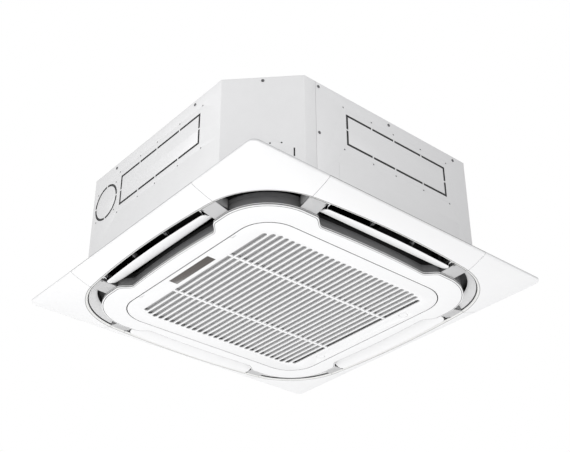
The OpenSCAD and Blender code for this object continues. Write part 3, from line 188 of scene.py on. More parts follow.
class Shape:
    """The solids of one piece, gathered in millimetres."""

    def __init__(self):
        self.verts = []
        self.faces = []

    def add(self, verts, faces):
        base = len(self.verts)
        self.verts += [tuple(v) for v in verts]
        self.faces += [[base + i for i in f] for f in faces]

    def loft(self, rings, closed=False):
        """Closed sections of equal length, joined in a row or in a ring."""
        n, m = len(rings), len(rings[0])
        last = n if closed else n - 1
        faces = [
            (i * m + j, i * m + (j + 1) % m, (i + 1) % n * m + (j + 1) % m, (i + 1) % n * m + j)
            for i in range(last)
            for j in range(m)
        ]
        if not closed:
            faces += [list(range(m)), list(range((n - 1) * m, n * m))]
        self.add([p for ring in rings for p in ring], faces)

    def lathe(self, profile, place, count=32):
        """A profile of radius and height, turned about an axis that place sets in the row frame."""
        first, last = profile[0], profile[-1]
        body = [p for p in profile if p[0] > 0]
        m = len(body)
        verts = [
            place(r * math.cos(math.tau * i / count), r * math.sin(math.tau * i / count), h)
            for i in range(count)
            for r, h in body
        ]
        faces = [
            (i * m + j, i * m + j + 1, (i + 1) % count * m + j + 1, (i + 1) % count * m + j)
            for i in range(count)
            for j in range(m - 1)
        ]
        if first[0] <= 0:
            verts.append(place(0, 0, first[1]))
            faces += [((i + 1) % count * m, i * m, count * m) for i in range(count)]
        if last[0] <= 0:
            verts.append(place(0, 0, last[1]))
            centre = len(verts) - 1
            faces += [(i * m + m - 1, (i + 1) % count * m + m - 1, centre) for i in range(count)]
        if first[0] > 0 and last[0] > 0:
            faces += [
                (i * m + m - 1, i * m, (i + 1) % count * m, (i + 1) % count * m + m - 1)
                for i in range(count)
            ]
        self.add(verts, faces)

    def prism(self, outline, low, high, place):
        """A flat outline drawn out from low to high; place maps x, y, z to the row frame."""
        m = len(outline)
        verts = [place(x, y, z) for z in (low, high) for x, y in outline]
        faces = [(j, (j + 1) % m, m + (j + 1) % m, m + j) for j in range(m)]
        self.add(verts, [*faces, list(range(m)), list(range(m, 2 * m))])

    def plate(self, outer, holes, low, high, bevel, place, cuts=()):
        """A flat plate with holes and rounded edges, split at the stations in cuts, then placed."""
        curve = bpy.data.curves.new("plate", "CURVE")
        curve.dimensions = "2D"
        curve.fill_mode = "BOTH"
        for loop in (outer, *holes):
            spline = curve.splines.new("POLY")
            spline.points.add(len(loop) - 1)
            for point, (x, y) in zip(spline.points, loop):
                point.co = (x * MM, y * MM, 0, 1)
            spline.use_cyclic_u = True
        curve.extrude = ((high - low) / 2 - bevel) * MM
        curve.bevel_depth = bevel * MM
        curve.bevel_resolution = 1
        curve.offset = -bevel * MM
        holder = bpy.data.objects.new("plate", curve)
        bpy.context.scene.collection.objects.link(holder)
        depsgraph = bpy.context.evaluated_depsgraph_get()
        made = bpy.data.meshes.new_from_object(holder.evaluated_get(depsgraph))
        bpy.data.objects.remove(holder)
        bm = bmesh.new()
        bm.from_mesh(made)
        bpy.data.meshes.remove(made)
        bmesh.ops.remove_doubles(bm, verts=bm.verts, dist=1e-6)
        for u in cuts:
            everything = bm.verts[:] + bm.edges[:] + bm.faces[:]
            bmesh.ops.bisect_plane(bm, geom=everything, plane_co=(u * MM, 0, 0), plane_no=(1, 0, 0))
        bm.verts.index_update()
        middle = (low + high) / 2
        verts = [place(v.co.x / MM, v.co.y / MM, v.co.z / MM + middle) for v in bm.verts]
        self.add(verts, [[v.index for v in f.verts] for f in bm.faces])
        bm.free()

    def build(self, name, sharp=32, bevel=0.0):
        mesh = bpy.data.meshes.new(name)
        mesh.from_pydata([[c * MM for c in v] for v in self.verts], [], self.faces)
        bm = bmesh.new()
        bm.from_mesh(mesh)
        bmesh.ops.recalc_face_normals(bm, faces=bm.faces)
        bm.to_mesh(mesh)
        bm.free()
        obj = bpy.data.objects.new(name, mesh)
        bpy.context.scene.collection.objects.link(obj)
        finish_mesh(obj, sharp, bevel)
        return obj


def finish_mesh(obj, sharp, bevel):
    """Rounds the sharp edges by bevel, then shades smooth between them."""
    if bevel:
        rounding = obj.modifiers.new("rounding", "BEVEL")
        rounding.width = bevel * MM
        rounding.segments = 2
        rounding.limit_method = "ANGLE"
        rounding.angle_limit = math.radians(sharp)
        depsgraph = bpy.context.evaluated_depsgraph_get()
        made = bpy.data.meshes.new_from_object(obj.evaluated_get(depsgraph))
        obj.modifiers.clear()
        obj.data = made
    obj.data.shade_smooth()
    obj.data.set_sharp_from_angle(angle=math.radians(sharp))


def plain(x, y, z):
    return (x, y, z)


# Materials
def node_of(tree, kind, **values):
    node = tree.nodes.new(kind)
    for key, value in values.items():
        setattr(node, key, value)
    return node


def surface(
    name,
    color,
    roughness,
    metallic=0.0,
    mottle=(60, 0.02),
    grain=(900, 0.05),
    spread=0.05,
    coat=0.0,
):
    """A shader with faint colour and gloss variation and a fine bump, in object space.
    mottle is scale and amount, grain is scale and depth in millimetres."""
    mat = bpy.data.materials.new(name)
    mat.use_nodes = True
    tree = mat.node_tree
    shader = tree.nodes["Principled BSDF"]
    shader.inputs["Metallic"].default_value = metallic
    shader.inputs["Coat Weight"].default_value = coat
    place = node_of(tree, "ShaderNodeTexCoord").outputs["Object"]
    cloud = node_of(tree, "ShaderNodeTexNoise")
    cloud.inputs["Scale"].default_value = mottle[0]
    cloud.inputs["Detail"].default_value = 4
    tree.links.new(place, cloud.inputs["Vector"])
    mix = node_of(tree, "ShaderNodeMix", data_type="RGBA")
    mix.inputs[6].default_value = (*[c * (1 - mottle[1]) for c in color], 1)
    mix.inputs[7].default_value = (*[min(c * (1 + mottle[1]), 1) for c in color], 1)
    tree.links.new(cloud.outputs["Fac"], mix.inputs[0])
    tree.links.new(mix.outputs[2], shader.inputs["Base Color"])
    gloss = node_of(tree, "ShaderNodeMapRange")
    gloss.inputs["To Min"].default_value = roughness - spread
    gloss.inputs["To Max"].default_value = roughness + spread
    tree.links.new(cloud.outputs["Fac"], gloss.inputs["Value"])
    tree.links.new(gloss.outputs["Result"], shader.inputs["Roughness"])
    fine = node_of(tree, "ShaderNodeTexNoise")
    fine.inputs["Scale"].default_value = grain[0]
    fine.inputs["Detail"].default_value = 2
    tree.links.new(place, fine.inputs["Vector"])
    bump = node_of(tree, "ShaderNodeBump")
    bump.inputs["Strength"].default_value = 0.4
    bump.inputs["Distance"].default_value = grain[1] * MM
    tree.links.new(fine.outputs["Fac"], bump.inputs["Height"])
    tree.links.new(bump.outputs["Normal"], shader.inputs["Normal"])
    return mat


# Blender's wave texture repeats every pi / 10 at scale 1
WAVE_SCALE = 0.314159


def stripes(mat, pitch, dark):
    """Fine bands across the material, along X and along Y, that darken it towards dark."""
    tree = mat.node_tree
    shader = tree.nodes["Principled BSDF"]
    base = shader.inputs["Base Color"].links[0].from_socket
    place = node_of(tree, "ShaderNodeTexCoord").outputs["Object"]
    for axis in "XY":
        wave = node_of(tree, "ShaderNodeTexWave", bands_direction=axis, wave_profile="SIN")
        wave.inputs["Scale"].default_value = 1 / (pitch * MM) * WAVE_SCALE
        tree.links.new(place, wave.inputs["Vector"])
        mix = node_of(tree, "ShaderNodeMix", data_type="RGBA")
        mix.inputs[7].default_value = (*dark, 1)
        tree.links.new(wave.outputs["Fac"], mix.inputs[0])
        tree.links.new(base, mix.inputs[6])
        base = mix.outputs[2]
    tree.links.new(base, shader.inputs["Base Color"])
    return mat


def painted_light_ramp(mat, low, high):
    """Painted light across the casing: the colour is multiplied by a gain that runs over x + y, so
    one side reads lit and the other shaded; each end is a sum in metres and a gain.
    """
    tree = mat.node_tree
    shader = tree.nodes["Principled BSDF"]
    base = shader.inputs["Base Color"].links[0].from_socket
    parts = node_of(tree, "ShaderNodeSeparateXYZ")
    tree.links.new(node_of(tree, "ShaderNodeTexCoord").outputs["Object"], parts.inputs[0])
    ramp = node_of(tree, "ShaderNodeMapRange")
    ramp.inputs["From Min"].default_value, ramp.inputs["To Min"].default_value = low
    ramp.inputs["From Max"].default_value, ramp.inputs["To Max"].default_value = high
    total = node_of(tree, "ShaderNodeMath", operation="ADD")
    tree.links.new(parts.outputs["X"], total.inputs[0])
    tree.links.new(parts.outputs["Y"], total.inputs[1])
    tree.links.new(total.outputs[0], ramp.inputs["Value"])
    mix = node_of(tree, "ShaderNodeMix", data_type="RGBA", blend_type="MULTIPLY")
    mix.inputs[0].default_value = 1
    tree.links.new(base, mix.inputs[6])
    tree.links.new(ramp.outputs["Result"], mix.inputs[7])
    tree.links.new(mix.outputs[2], shader.inputs["Base Color"])
    return mat


MATERIALS = {
    "panel_white": surface(
        "panel white", (0.832, 0.832, 0.831), 0.38, grain=(1400, 0.04), mottle=(20, 0.006)
    ),
    # Painted light on the casing: brighter towards the near -X -Y corner, darker towards the far
    # one.
    "sheet_metal": painted_light_ramp(
        surface("painted sheet", (0.7, 0.7, 0.702), 0.42, 0.25, (35, 0.02), (500, 0.03)),
        (-0.7, 1.15),
        (-0.05, 0.92),
    ),
    "bright_steel": surface(
        "bright steel", (0.6, 0.61, 0.62), 0.32, 0.9, (80, 0.06), (700, 0.05), 0.08
    ),
    "foam_dark": surface("black foam", (0.07, 0.07, 0.071), 0.9, 0, (90, 0.3), (260, 0.6)),
    "fins": stripes(surface("fin pack", (0.62, 0.66, 0.7), 0.4, 0.7), 1.8, (0.1, 0.11, 0.12)),
    "copper": surface("copper", (0.72, 0.38, 0.22), 0.3, 0.95, (60, 0.12), (500, 0.05), 0.1),
    "brass": surface("brass", (0.75, 0.56, 0.26), 0.28, 0.95, (80, 0.08), (500, 0.04), 0.08),
    "rubber_black": surface("black rubber", (0.025, 0.025, 0.026), 0.7, 0, (70, 0.2), (900, 0.12)),
    # Also the trays' grey, which darkens the seam gaps by the corner covers as painted shade.
    "plastic_grey": surface("light grey plastic and painted seam shade", (0.6, 0.605, 0.61), 0.45, grain=(1400, 0.06)),
    "plastic_white_inner": surface(
        "inner white plastic", (0.78, 0.78, 0.76), 0.5, grain=(900, 0.08)
    ),
    "bridge_grey": surface("bridge plastic", (0.5, 0.5, 0.5), 0.5, grain=(1400, 0.06)),
    "screw_dark": surface("dark screw", (0.12, 0.12, 0.125), 0.4, 0.6, (80, 0.08), (700, 0.04)),
    # Grey painted shade lines along the rim and lip; the same grey also colours the outlet end
    # walls.
    "line_grey": surface("grey shade line and end wall", (0.3, 0.3, 0.3), 0.6, grain=(1400, 0.03)),
    # Dark painted shade lines on the centre frame's edge and crease and on the lip's inner wall.
    "line_dark": surface("dark shade line", (0.14, 0.14, 0.14), 0.6, grain=(1400, 0.03)),
    # Black seal and black lining; the same black fills the gaps round the grille as painted shade.
    "seal_black": surface("black seal and gap shade", (0.008, 0.008, 0.008), 0.95, grain=(700, 0.1)),
    "board": surface("board lacquer", (0.02, 0.2, 0.09), 0.35, 0, (120, 0.2), (600, 0.06)),
    "throat_dark": surface("dark plastic", (0.15, 0.15, 0.152), 0.5, 0, (40, 0.1), (900, 0.1)),
    "mesh_net": stripes(surface("filter net", (0.66, 0.66, 0.66), 0.7), 1.5, (0.34, 0.34, 0.34)),
    "window_dark": surface(
        "dark window", (0.075, 0.065, 0.058), 0.14, coat=0.5, grain=(400, 0.004)
    ),
}


def dress(piece, slot):
    piece.data.materials.clear()
    piece.data.materials.append(MATERIALS[slot])


def place_for(piece, *nodes):
    """The piece stands for these nodes, with their body, slot and finish."""
    dress(piece, SLOT_OF[nodes[0]])
    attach(piece, BODY_OF[nodes[0]])
    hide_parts(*nodes)
    return piece


# Panel band
def over_line(a, b, entries):
    """Points over a plan line; an entry is a share of it, a distance along it and a level."""
    length = math.dist(a, b)
    u = ((b[0] - a[0]) / length, (b[1] - a[1]) / length)
    points = []
    for share, along, z in entries:
        d = share * length + along
        points.append((a[0] + u[0] * d, a[1] + u[1] * d, z))
    return points


def band_run(shares, depth):
    """Points along the band's slope, at a depth behind its face."""
    return [(f, BEAD_FULL * (1 - f), fall(f) + depth) for f in shares]


def box_section(share, near, far, low, high):
    """A small rectangle in a section, between two distances and two levels."""
    return [(share, near, low), (share, near, high), (share, far, high), (share, far, low)]


RIM_ROUND = 1.4
SLOPE_START = 0.97
BEAD_EDGE = ((0.4, 0.1), (0.7, 0.5))
LIP_EDGE = ((0.7, 2.6), (0.2, 2.9), (0, 3.4))


def band_face():
    """Visible face of the band, from the rim's side to the lip's inner edge."""
    r = RIM_ROUND
    rim = [(1, d - r, ARRIS_Z + r + h) for d, h in arc(0, 0, r, 0, -90, 4)]
    slope = band_run(steps(SLOPE_START, 0, 14), 0)
    bead = [(0, BEAD_FULL - d, LIP_Z + h) for d, h in BEAD_EDGE]
    edge = [(0, d, LIP_Z + h) for d, h in LIP_EDGE]
    return [*rim, *slope, *bead, *edge]


LINE_OFF = 0.15
RIM_CUT = 0.6
RIM_CUT_Z = CEILING_Z - 2
RIM_RECESS = [(1, -RIM_CUT, CEILING_Z), (1, -RIM_CUT, RIM_CUT_Z), (1, 0, RIM_CUT_Z - 0.1)]
# Painted shade: a grey strip set in the rim's recess, so that the recess reads as a dark line.
RIM_SHADE_LINE = box_section(1, -LINE_OFF, -2 * RIM_CUT, CEILING_Z - 0.1, RIM_CUT_Z + 0.1)
LIP_FLANGE = [
    (0, BEAD_FULL - 0.5, LIP_Z + 0.02),
    (0, 0.75, LIP_Z + 2.4),
    (0, 0.75, LIP_Z + 3),
    (0, BEAD_FULL - 0.5, LIP_Z + 0.6),
]
# Painted shade: a dark strip on the inner wall of the lip, just above its edge, where the wall
# falls in shade.
LIP_BACK_SHADE = box_section(0, -LINE_OFF, 0.6, LIP_Z + 3.2, LIP_Z + 7)
# Painted shade: a grey line along the step of the bead beside the lip.
LIP_SHADE_LINE = box_section(0, BEAD_FULL - 0.6, BEAD_FULL + 1, LIP_Z - 0.08, LIP_Z + 0.6)
FRAME_SECTION = [
    *RIM_RECESS,
    *band_face(),
    (0, 0, ARRIS_Z - WALL_DROP),
    (0, SHELL_T, ARRIS_Z - WALL_DROP),
    (0, SHELL_T, LIP_Z + SHELL_T + 3),
    *band_run(steps(0, 0.9, 6), SHELL_T),
    (1, -RIM_W, ARRIS_Z + SHELL_T),
    (1, -RIM_W, CEILING_Z),
]
COVER_TOP_Z = CEILING_Z - 2.2
COVER_SECTION = [
    (1, 0, COVER_TOP_Z),
    *band_face(),
    (0, 0, LIP_Z + BEAD_STEP + COVER_T + 1),
    (0, BEAD_W, LIP_Z + COVER_T + 0.5),
    *band_run(steps(0, 0.9, 6), COVER_T),
    (1, -5.5, COVER_TOP_Z),
]
TRAY_LOW = 2.8
TRAY_T = 2
TRAY_SHARES = (0, 0.25, 0.5, 0.75)
TRAY_SECTION = [
    (1, 0, CEILING_Z),
    (1, 0, COVER_TOP_Z + 0.3),
    (1, -RIM_W, COVER_TOP_Z + 0.3),
    *band_run(TRAY_SHARES[::-1], TRAY_LOW),
    (0, BEAD_W, LIP_Z + TRAY_LOW + 0.5),
    (0, 0, LIP_Z + 2 + TRAY_LOW),
    (0, 0, ARRIS_Z - WALL_DROP),
    (0, SHELL_T, ARRIS_Z - WALL_DROP),
    (0, SHELL_T, LIP_Z + 1 + TRAY_LOW + TRAY_T),
    *band_run(TRAY_SHARES, TRAY_LOW + TRAY_T),
    (1, -RIM_W, CEILING_Z - 0.6),
    (1, -RIM_W, CEILING_Z),
]


def side_rings(entries):
    return [
        over_line((s, lip_at(s)), (s, PANEL_HALF), entries) for s in steps(-SEAM_S, SEAM_S, 48)
    ]


def corner_rings(entries, start):
    """Sections round a corner, from a straight run through the round and out again."""
    first = math.asin((start - LIP_C) / LIP_CORNER_R)
    c = PANEL_HALF - PANEL_R
    path = [(x, PANEL_HALF) for x in steps(start, c, 14)]
    path += arc(c, c, PANEL_R, 90, 0, 12)[1:]
    path += [(PANEL_HALF, y) for y in steps(c, start, 14)][1:]
    n = len(path) - 1
    rings = []
    for i, outer in enumerate(path):
        turn = first + (math.pi / 2 - 2 * first) * i / n
        inner = (LIP_C + LIP_CORNER_R * math.sin(turn), LIP_C + LIP_CORNER_R * math.cos(turn))
        rings.append(over_line(inner, outer, entries))
    return rings


def all_round(shape, rings):
    for k in range(4):
        shape.loft([[turned(p, k) for p in ring] for ring in rings])


def band_piece(name, node, slot=None, side=None, corner=None, start=COVER_START):
    """A piece of the outlet ring, from the sections of its sides and of its corners."""
    shape = Shape()
    if side:
        all_round(shape, side_rings(side))
    if corner:
        all_round(shape, corner_rings(corner, start))
    piece = place_for(shape.build(name), node)
    if slot:
        dress(piece, slot)


def make_panel():
    band_piece("panel_band", "panel_frame", side=FRAME_SECTION)
    # The trays are grey so that the seam gaps beside the corner covers read dark: painted shade.
    band_piece("panel_trays", "panel_frame", "plastic_grey", corner=TRAY_SECTION, start=TRAY_START)
    band_piece("panel_corner_covers", "corner_covers", corner=COVER_SECTION)
    # A grey strip in the rim's recess, painted shade.
    band_piece("panel_rim_shade_line", "panel_frame", "line_grey", side=RIM_SHADE_LINE)
    # Beside the white flange, a dark strip on the lip's inner wall and a grey line along the bead,
    # both painted shade.
    for name, slot, section in (
        ("panel_lip_flange", "plastic_white_inner", LIP_FLANGE),
        ("panel_lip_back_shade", "line_dark", LIP_BACK_SHADE),
        ("panel_lip_shade_line", "line_grey", LIP_SHADE_LINE),
    ):
        band_piece(name, "panel_frame", slot, side=section, corner=section)


# Centre frame and the walls of the air outlets
def edge_stations():
    side = steps(0, NOTCH_FLAT, 12) + steps(NOTCH_FLAT, NOTCH_END, 14)[1:]
    return [-s for s in side[:0:-1]] + side


def corner_points(straight, r):
    """Points round a corner past a straight side, without the two ends."""
    turns = [math.radians(a) for a in steps(0, 90, 20)[1:-1]]
    return [(straight + r * math.sin(t), straight + r * math.cos(t)) for t in turns]


def edge_quarter(grow):
    """A quarter of the centre frame's outer edge, with the drop of the edge there."""
    points = [(s, edge_at(s) + grow, NOTCH_DROP * notch_share(s)) for s in edge_stations()]
    return points + [(*p, 0) for p in corner_points(FRAME_STRAIGHT, FRAME_R + grow)]


def opening_quarter():
    straight = OPENING_HALF - OPENING_R
    points = [(s * straight / NOTCH_END, OPENING_HALF) for s in edge_stations()]
    return points + corner_points(straight, OPENING_R)


OPENING_WALL_Z = ARRIS_Z - 24
OPENING_ROUND = 0.9
EDGE_ROUND = 1.0
FACE_SETBACK = 1.2
FACE_CURVE = 2.1
# Painted shade: a dark strip on the centre frame's side wall, and a dark line along the crease near
# its edge.
EDGE_SHADE_LINE = (2, 4.2)
EDGE_SHADE_LINE_T = 1.2
CREASE_SHARES = (0.952, 0.978)
CREASE_DEPTH = (-0.05, 0.6)
# Painted shade: dark strips set in the gap between the grille and the centre frame, and at the
# hinges, so the gap reads dark.
GAP_SHADE_Z = (FACE_Z + 0.7, FACE_Z + 8)
GAP_SHADE_ROUND = 0.05
OPENING_GAP_SHADE = (0.05, 0.6)
HINGE_GAP_SHADE_HALF = 24


def edge_back(point, distance):
    """The point moved towards the middle of the panel."""
    size = math.hypot(*point)
    return (point[0] * (1 - distance / size), point[1] * (1 - distance / size))


def frame_face(f, low, over=0):
    """A point of the centre frame's face; low is the level of its outer edge."""
    return (f, -FACE_SETBACK * f, FACE_Z + (low - FACE_Z) * f**FACE_CURVE + over)


def frame_section(low):
    """Section of the centre frame, from the grille's opening at share 0 to the outer edge."""
    r, e = OPENING_ROUND, EDGE_ROUND
    edge = [(0, r + d, FACE_Z + r + h) for d, h in arc(0, 0, r, 180, 270, 4)]
    face = [frame_face(f, low) for f in steps(0.05, 1, 14)]
    rim = [(1, d - e, low + e + h) for d, h in arc(0, 0, e, -90, 0, 4)]
    top = low + FRAME_SIDE_H
    inside = FACE_Z + SHELL_T + 0.8
    return [
        (0, 0, OPENING_WALL_Z),
        *edge,
        *face,
        *rim,
        (1, 0, top - 0.4),
        (1, -0.4, top),
        (1, -FRAME_SIDE_T, top),
        (1, -FRAME_SIDE_T, low + SHELL_T),
        (0.3, 0, inside),
        (0, SHELL_T, inside),
        (0, SHELL_T, OPENING_WALL_Z),
    ]


def crease_shade_section(low):
    """Painted shade: a thin dark line along the crease near the centre frame's edge."""
    below, above = CREASE_DEPTH
    line = [frame_face(f, low, below) for f in CREASE_SHARES]
    return line + [frame_face(f, low, above) for f in CREASE_SHARES[::-1]]


def frame_rings(section):
    """Sections all round the centre frame, each made for the level of the edge there."""
    rings = []
    for k in range(4):
        for inner, outer in zip(opening_quarter(), edge_quarter(0)):
            line = over_line(inner, outer[:2], section(ARRIS_Z - FRAME_DROP - outer[2]))
            rings.append([turned(p, k) for p in line])
    return rings


def make_centre_frame():
    shape = Shape()
    shape.loft(frame_rings(frame_section), closed=True)
    place_for(shape.build("panel_centre_frame"), "centre_frame")
    # Dark strips on the frame's side wall and along its crease, painted shade.
    rings = []
    for k in range(4):
        for x, y, drop in edge_quarter(2 * LINE_OFF):
            low, high = (ARRIS_Z - FRAME_DROP - drop + z for z in EDGE_SHADE_LINE)
            back = edge_back((x, y), EDGE_SHADE_LINE_T)
            ring = [(x, y, low), (x, y, high), (*back, high), (*back, low)]
            rings.append([turned(p, k) for p in ring])
    shape = Shape()
    shape.loft(rings, closed=True)
    shape.loft(frame_rings(crease_shade_section), closed=True)
    dress(place_for(shape.build("panel_frame_shade_lines"), "centre_frame"), "line_dark")
    # Dark rings and strips in the grille's gap, painted shade.
    shape = Shape()
    outer, inner = (round_square(OPENING_HALF - d, OPENING_R - d, 16) for d in OPENING_GAP_SHADE)
    shape.plate(outer, [inner], *GAP_SHADE_Z, GAP_SHADE_ROUND, plain)
    x0, x1 = -OPENING_HALF + LINE_OFF, -OPENING_HALF + 2.1
    for y in (-HINGE_Y, HINGE_Y):
        outline = rect(x0, x1, y - HINGE_GAP_SHADE_HALF, y + HINGE_GAP_SHADE_HALF)
        shape.plate(outline, [], FACE_Z + 0.25, FACE_Z + 0.55, GAP_SHADE_ROUND, plain)
    dress(place_for(shape.build("panel_opening_gap_shade"), "centre_frame"), "seal_black")


BRIDGE_IN = (206.8, 211)
BRIDGE_END = (254, 260.4)
SLANT_T = (370, 415)
BRIDGE_T = 2
BRIDGE_LOW = LIP_Z + 1
BRIDGE_DROP = 5.2
BRIDGE_GAP = 0.06
END_WALL_FACES = (2.8, 0.3)
END_WALL_GAP = 0.6


def slant_at(edge, t):
    """Place along the side of a bridge's slanted edge, at a distance t from the panel's middle."""
    return edge[0] + (edge[1] - edge[0]) * (t - SLANT_T[0]) / (SLANT_T[1] - SLANT_T[0])


def frame_at(s):
    over = max(s - FRAME_STRAIGHT, 0)
    return FRAME_STRAIGHT + math.sqrt(FRAME_R**2 - over**2)


def on_slant(edge, curve, gap):
    """Where a bridge's slanted edge meets a curve of the outlet ring, set off by a gap."""
    s = edge[1]
    for _ in range(8):
        s = slant_at(edge, curve(s) + gap)
    return s


def strip(low, high, gap):
    """Outline between two slanted edges, from the centre frame to the lip."""
    outer_ends = [on_slant(edge, lip_at, -gap) for edge in (low, high)]
    inner_ends = [on_slant(edge, frame_at, gap) for edge in (low, high)]
    outer = [(s, lip_at(s) - gap) for s in steps(*outer_ends, 12)]
    inner = [(s, frame_at(s) + gap) for s in steps(*inner_ends, 12)]
    return outer + inner[::-1]


def bridge_fall(x, y):
    """How far the bridge has come down here, on its way from the lip to the centre frame."""
    lip, frame = lip_at(abs(x)), frame_at(abs(x))
    return BRIDGE_DROP * clamp01((lip - y) / (lip - frame))


def make_bridges():
    """Plates between the side outlets and the corner outlets."""
    shape = Shape()
    outline = strip(BRIDGE_IN, BRIDGE_END, BRIDGE_GAP)
    for k in range(4):
        for side in (-1, 1):
            shape.plate(
                [(side * x, y) for x, y in outline],
                [],
                BRIDGE_LOW,
                BRIDGE_LOW + BRIDGE_T,
                0.3,
                lambda x, y, z, k=k: turned((x, y, z - bridge_fall(x, y)), k),
            )
    dress(place_for(shape.build("outlet_bridges"), "bridge_plates"), "bridge_grey")


LINING_Z = ARRIS_Z - 5
LINING_OVER = 0.4


def throat_rings(section):
    rings = []
    for k in range(4):
        for index in range(len(edge_quarter(0))):
            ring = []
            for grow, z in section:
                x, y, _ = edge_quarter(grow - THROAT_INSET)[index]
                ring.append(turned((x, y, z), k))
            rings.append(ring)
    return rings


def make_throat():
    """Inner wall of the outlets, the lining on its upper part and the end walls at the bridges."""
    low, high = box_mm("throat_wall")
    shape = Shape()
    wall = [(0, low.z), (0, LINING_Z), (-THROAT_T, LINING_Z), (-THROAT_T, low.z)]
    shape.loft(throat_rings(wall), closed=True)
    place_for(shape.build("outlet_throat", bevel=0.3), "throat_wall")
    shape = Shape()
    top = box_mm("flap_bearings")[1].z
    faces = ([e - d for e in BRIDGE_END] for d in END_WALL_FACES)
    outline = strip(*faces, END_WALL_GAP)
    for k in range(4):
        for side in (-1, 1):
            place = lambda x, y, z, k=k: turned((x, y, z), k)
            mirrored = [(side * x, y) for x, y in outline]
            shape.prism(mirrored, BRIDGE_LOW + BRIDGE_T + 0.1, top, place)
    dress(place_for(shape.build("outlet_end_walls", bevel=0.3), "throat_wall"), "line_grey")
    start = LINING_Z + 0.1
    lining = [(LINING_OVER, start), (LINING_OVER, high.z - 1), (-LINING_OVER, high.z)]
    lining += [(-THROAT_T, high.z), (-THROAT_T, start)]
    rings = throat_rings(lining)
    side_count = len(edge_stations())
    quarter = len(rings) // 4
    sides, corners = Shape(), Shape()
    for k in range(4):
        first = k * quarter
        sides.loft(rings[first : first + side_count])
        corner = range(first + side_count - 1, first + quarter + 1)
        corners.loft([rings[i % len(rings)] for i in corner])
    dress(place_for(sides.build("outlet_throat_lining"), "throat_wall"), "seal_black")
    place_for(corners.build("outlet_throat_corners"), "throat_wall")


VANE_R = (LIP_CORNER_R - 2.5, 164)
VANE_Z = (LIP_Z + 6, ARRIS_Z + 2)
VANE_BOW = 1.5
VANE_T = 2.4
VANE_FOOT = (0.6, 1.2)
VANE_GAP = 0.6


def make_deflectors():
    """Curved white vanes of the corner outlets, thicker towards the lip."""
    shares = steps(0, 1, 10)
    (low_r, high_r), (low_z, high_z) = VANE_R, VANE_Z
    face = []
    for f in shares:
        bow = VANE_BOW * math.sin(math.pi * f)
        face.append((low_r + (high_r - low_r) * f + bow, low_z + (high_z - low_z) * f))
    lean, foot = VANE_FOOT
    section = face + [
        (r - lean * f, z + VANE_T + foot * f) for f, (r, z) in zip(shares, face[::-1])
    ]
    edge = [e + VANE_GAP for e in BRIDGE_END]
    rings = []
    for f in steps(0, 1, 40):
        ring = []
        for r, z in section:
            curve = lambda s, r=r: LIP_C + math.sqrt(r * r - (s - LIP_C) ** 2)
            first = math.asin((on_slant(edge, curve, 0) - LIP_C) / r)
            turn = first + (math.pi / 2 - 2 * first) * f
            ring.append((LIP_C + r * math.sin(turn), LIP_C + r * math.cos(turn), z))
        rings.append(ring)
    shape = Shape()
    all_round(shape, rings)
    place_for(shape.build("outlet_corner_vanes"), "corner_deflectors")


# Flaps
PIVOT_T = 409
PIVOT_Z = ARRIS_Z - 11.5
FLAP_HALF = 205
FLAP_T = 3.6
FLAP_CAMBER = 6.5
FLAP_REST = math.radians(-33.5)
FLAP_OUT = 12.5
FLAP_OUT_DROP = 12
FLAP_IN = 54.5
FLAP_IN_DROP = 16
FLAP_BOW = 8
FLAP_END_R = 11
FLAP_TUCK = 20
PIN_R = 3
EAR_T = 3
EAR_R = 6
ARM_R = 4.8
MID_ARM_S = 65
MID_PIN_R = 2.5
ARM_T = 4
PIN_ROUND = 0.4
BEARING_S = 211
BEARING_T = 3.5
END_PIN = (FLAP_HALF - 1.5 * EAR_T, BEARING_S + BEARING_T)
MID_PIN = (MID_ARM_S - 2.3, MID_ARM_S + 3.8)
# foot of an ear, in shares of FLAP_OUT and of FLAP_OUT_DROP
EAR_FOOT = ((-0.7, -1.55), (0.1, -1.35))
TUCK_OVER = 2
NOSE_GAIN = 2.5


def end_shrink(s):
    k = abs(s) - (FLAP_HALF - FLAP_END_R)
    return 0 if k <= 0 else FLAP_END_R - math.sqrt(max(0, FLAP_END_R**2 - k * k))


def flap_ring(s):
    """Section of a closed flap: distance outwards from the pivot, and height over it."""
    out = FLAP_OUT - FLAP_BOW * (s / FLAP_HALF) ** 2 - end_shrink(s)
    tuck = FLAP_TUCK * smooth(clamp01((abs(s) - NOTCH_FLAT) / (NOTCH_END - NOTCH_FLAT + TUCK_OVER)))
    inn = -FLAP_IN + tuck + end_shrink(s) / 4
    count = 12
    ring = []
    for i in range(2 * count):
        q = (i if i <= count else 2 * count - i) / count
        t = out + (inn - out) * (1 - math.cos(math.pi * q)) / 2
        f = (FLAP_OUT - t) / (FLAP_OUT + FLAP_IN)
        thick = FLAP_T / 2 * min(1, NOSE_GAIN * math.sin(math.pi * q))
        z = -FLAP_OUT_DROP - (FLAP_IN_DROP - FLAP_OUT_DROP) * f - 4 * FLAP_CAMBER * f * (1 - f)
        ring.append((s, t, z + (-thick if i <= count else thick)))
    return ring


def opened(p):
    """A point of a closed flap, turned about its pivot into the rest pose."""
    c, s = math.cos(FLAP_REST), math.sin(FLAP_REST)
    return (p[0], PIVOT_T + p[1] * c - p[2] * s, PIVOT_Z + p[1] * s + p[2] * c)


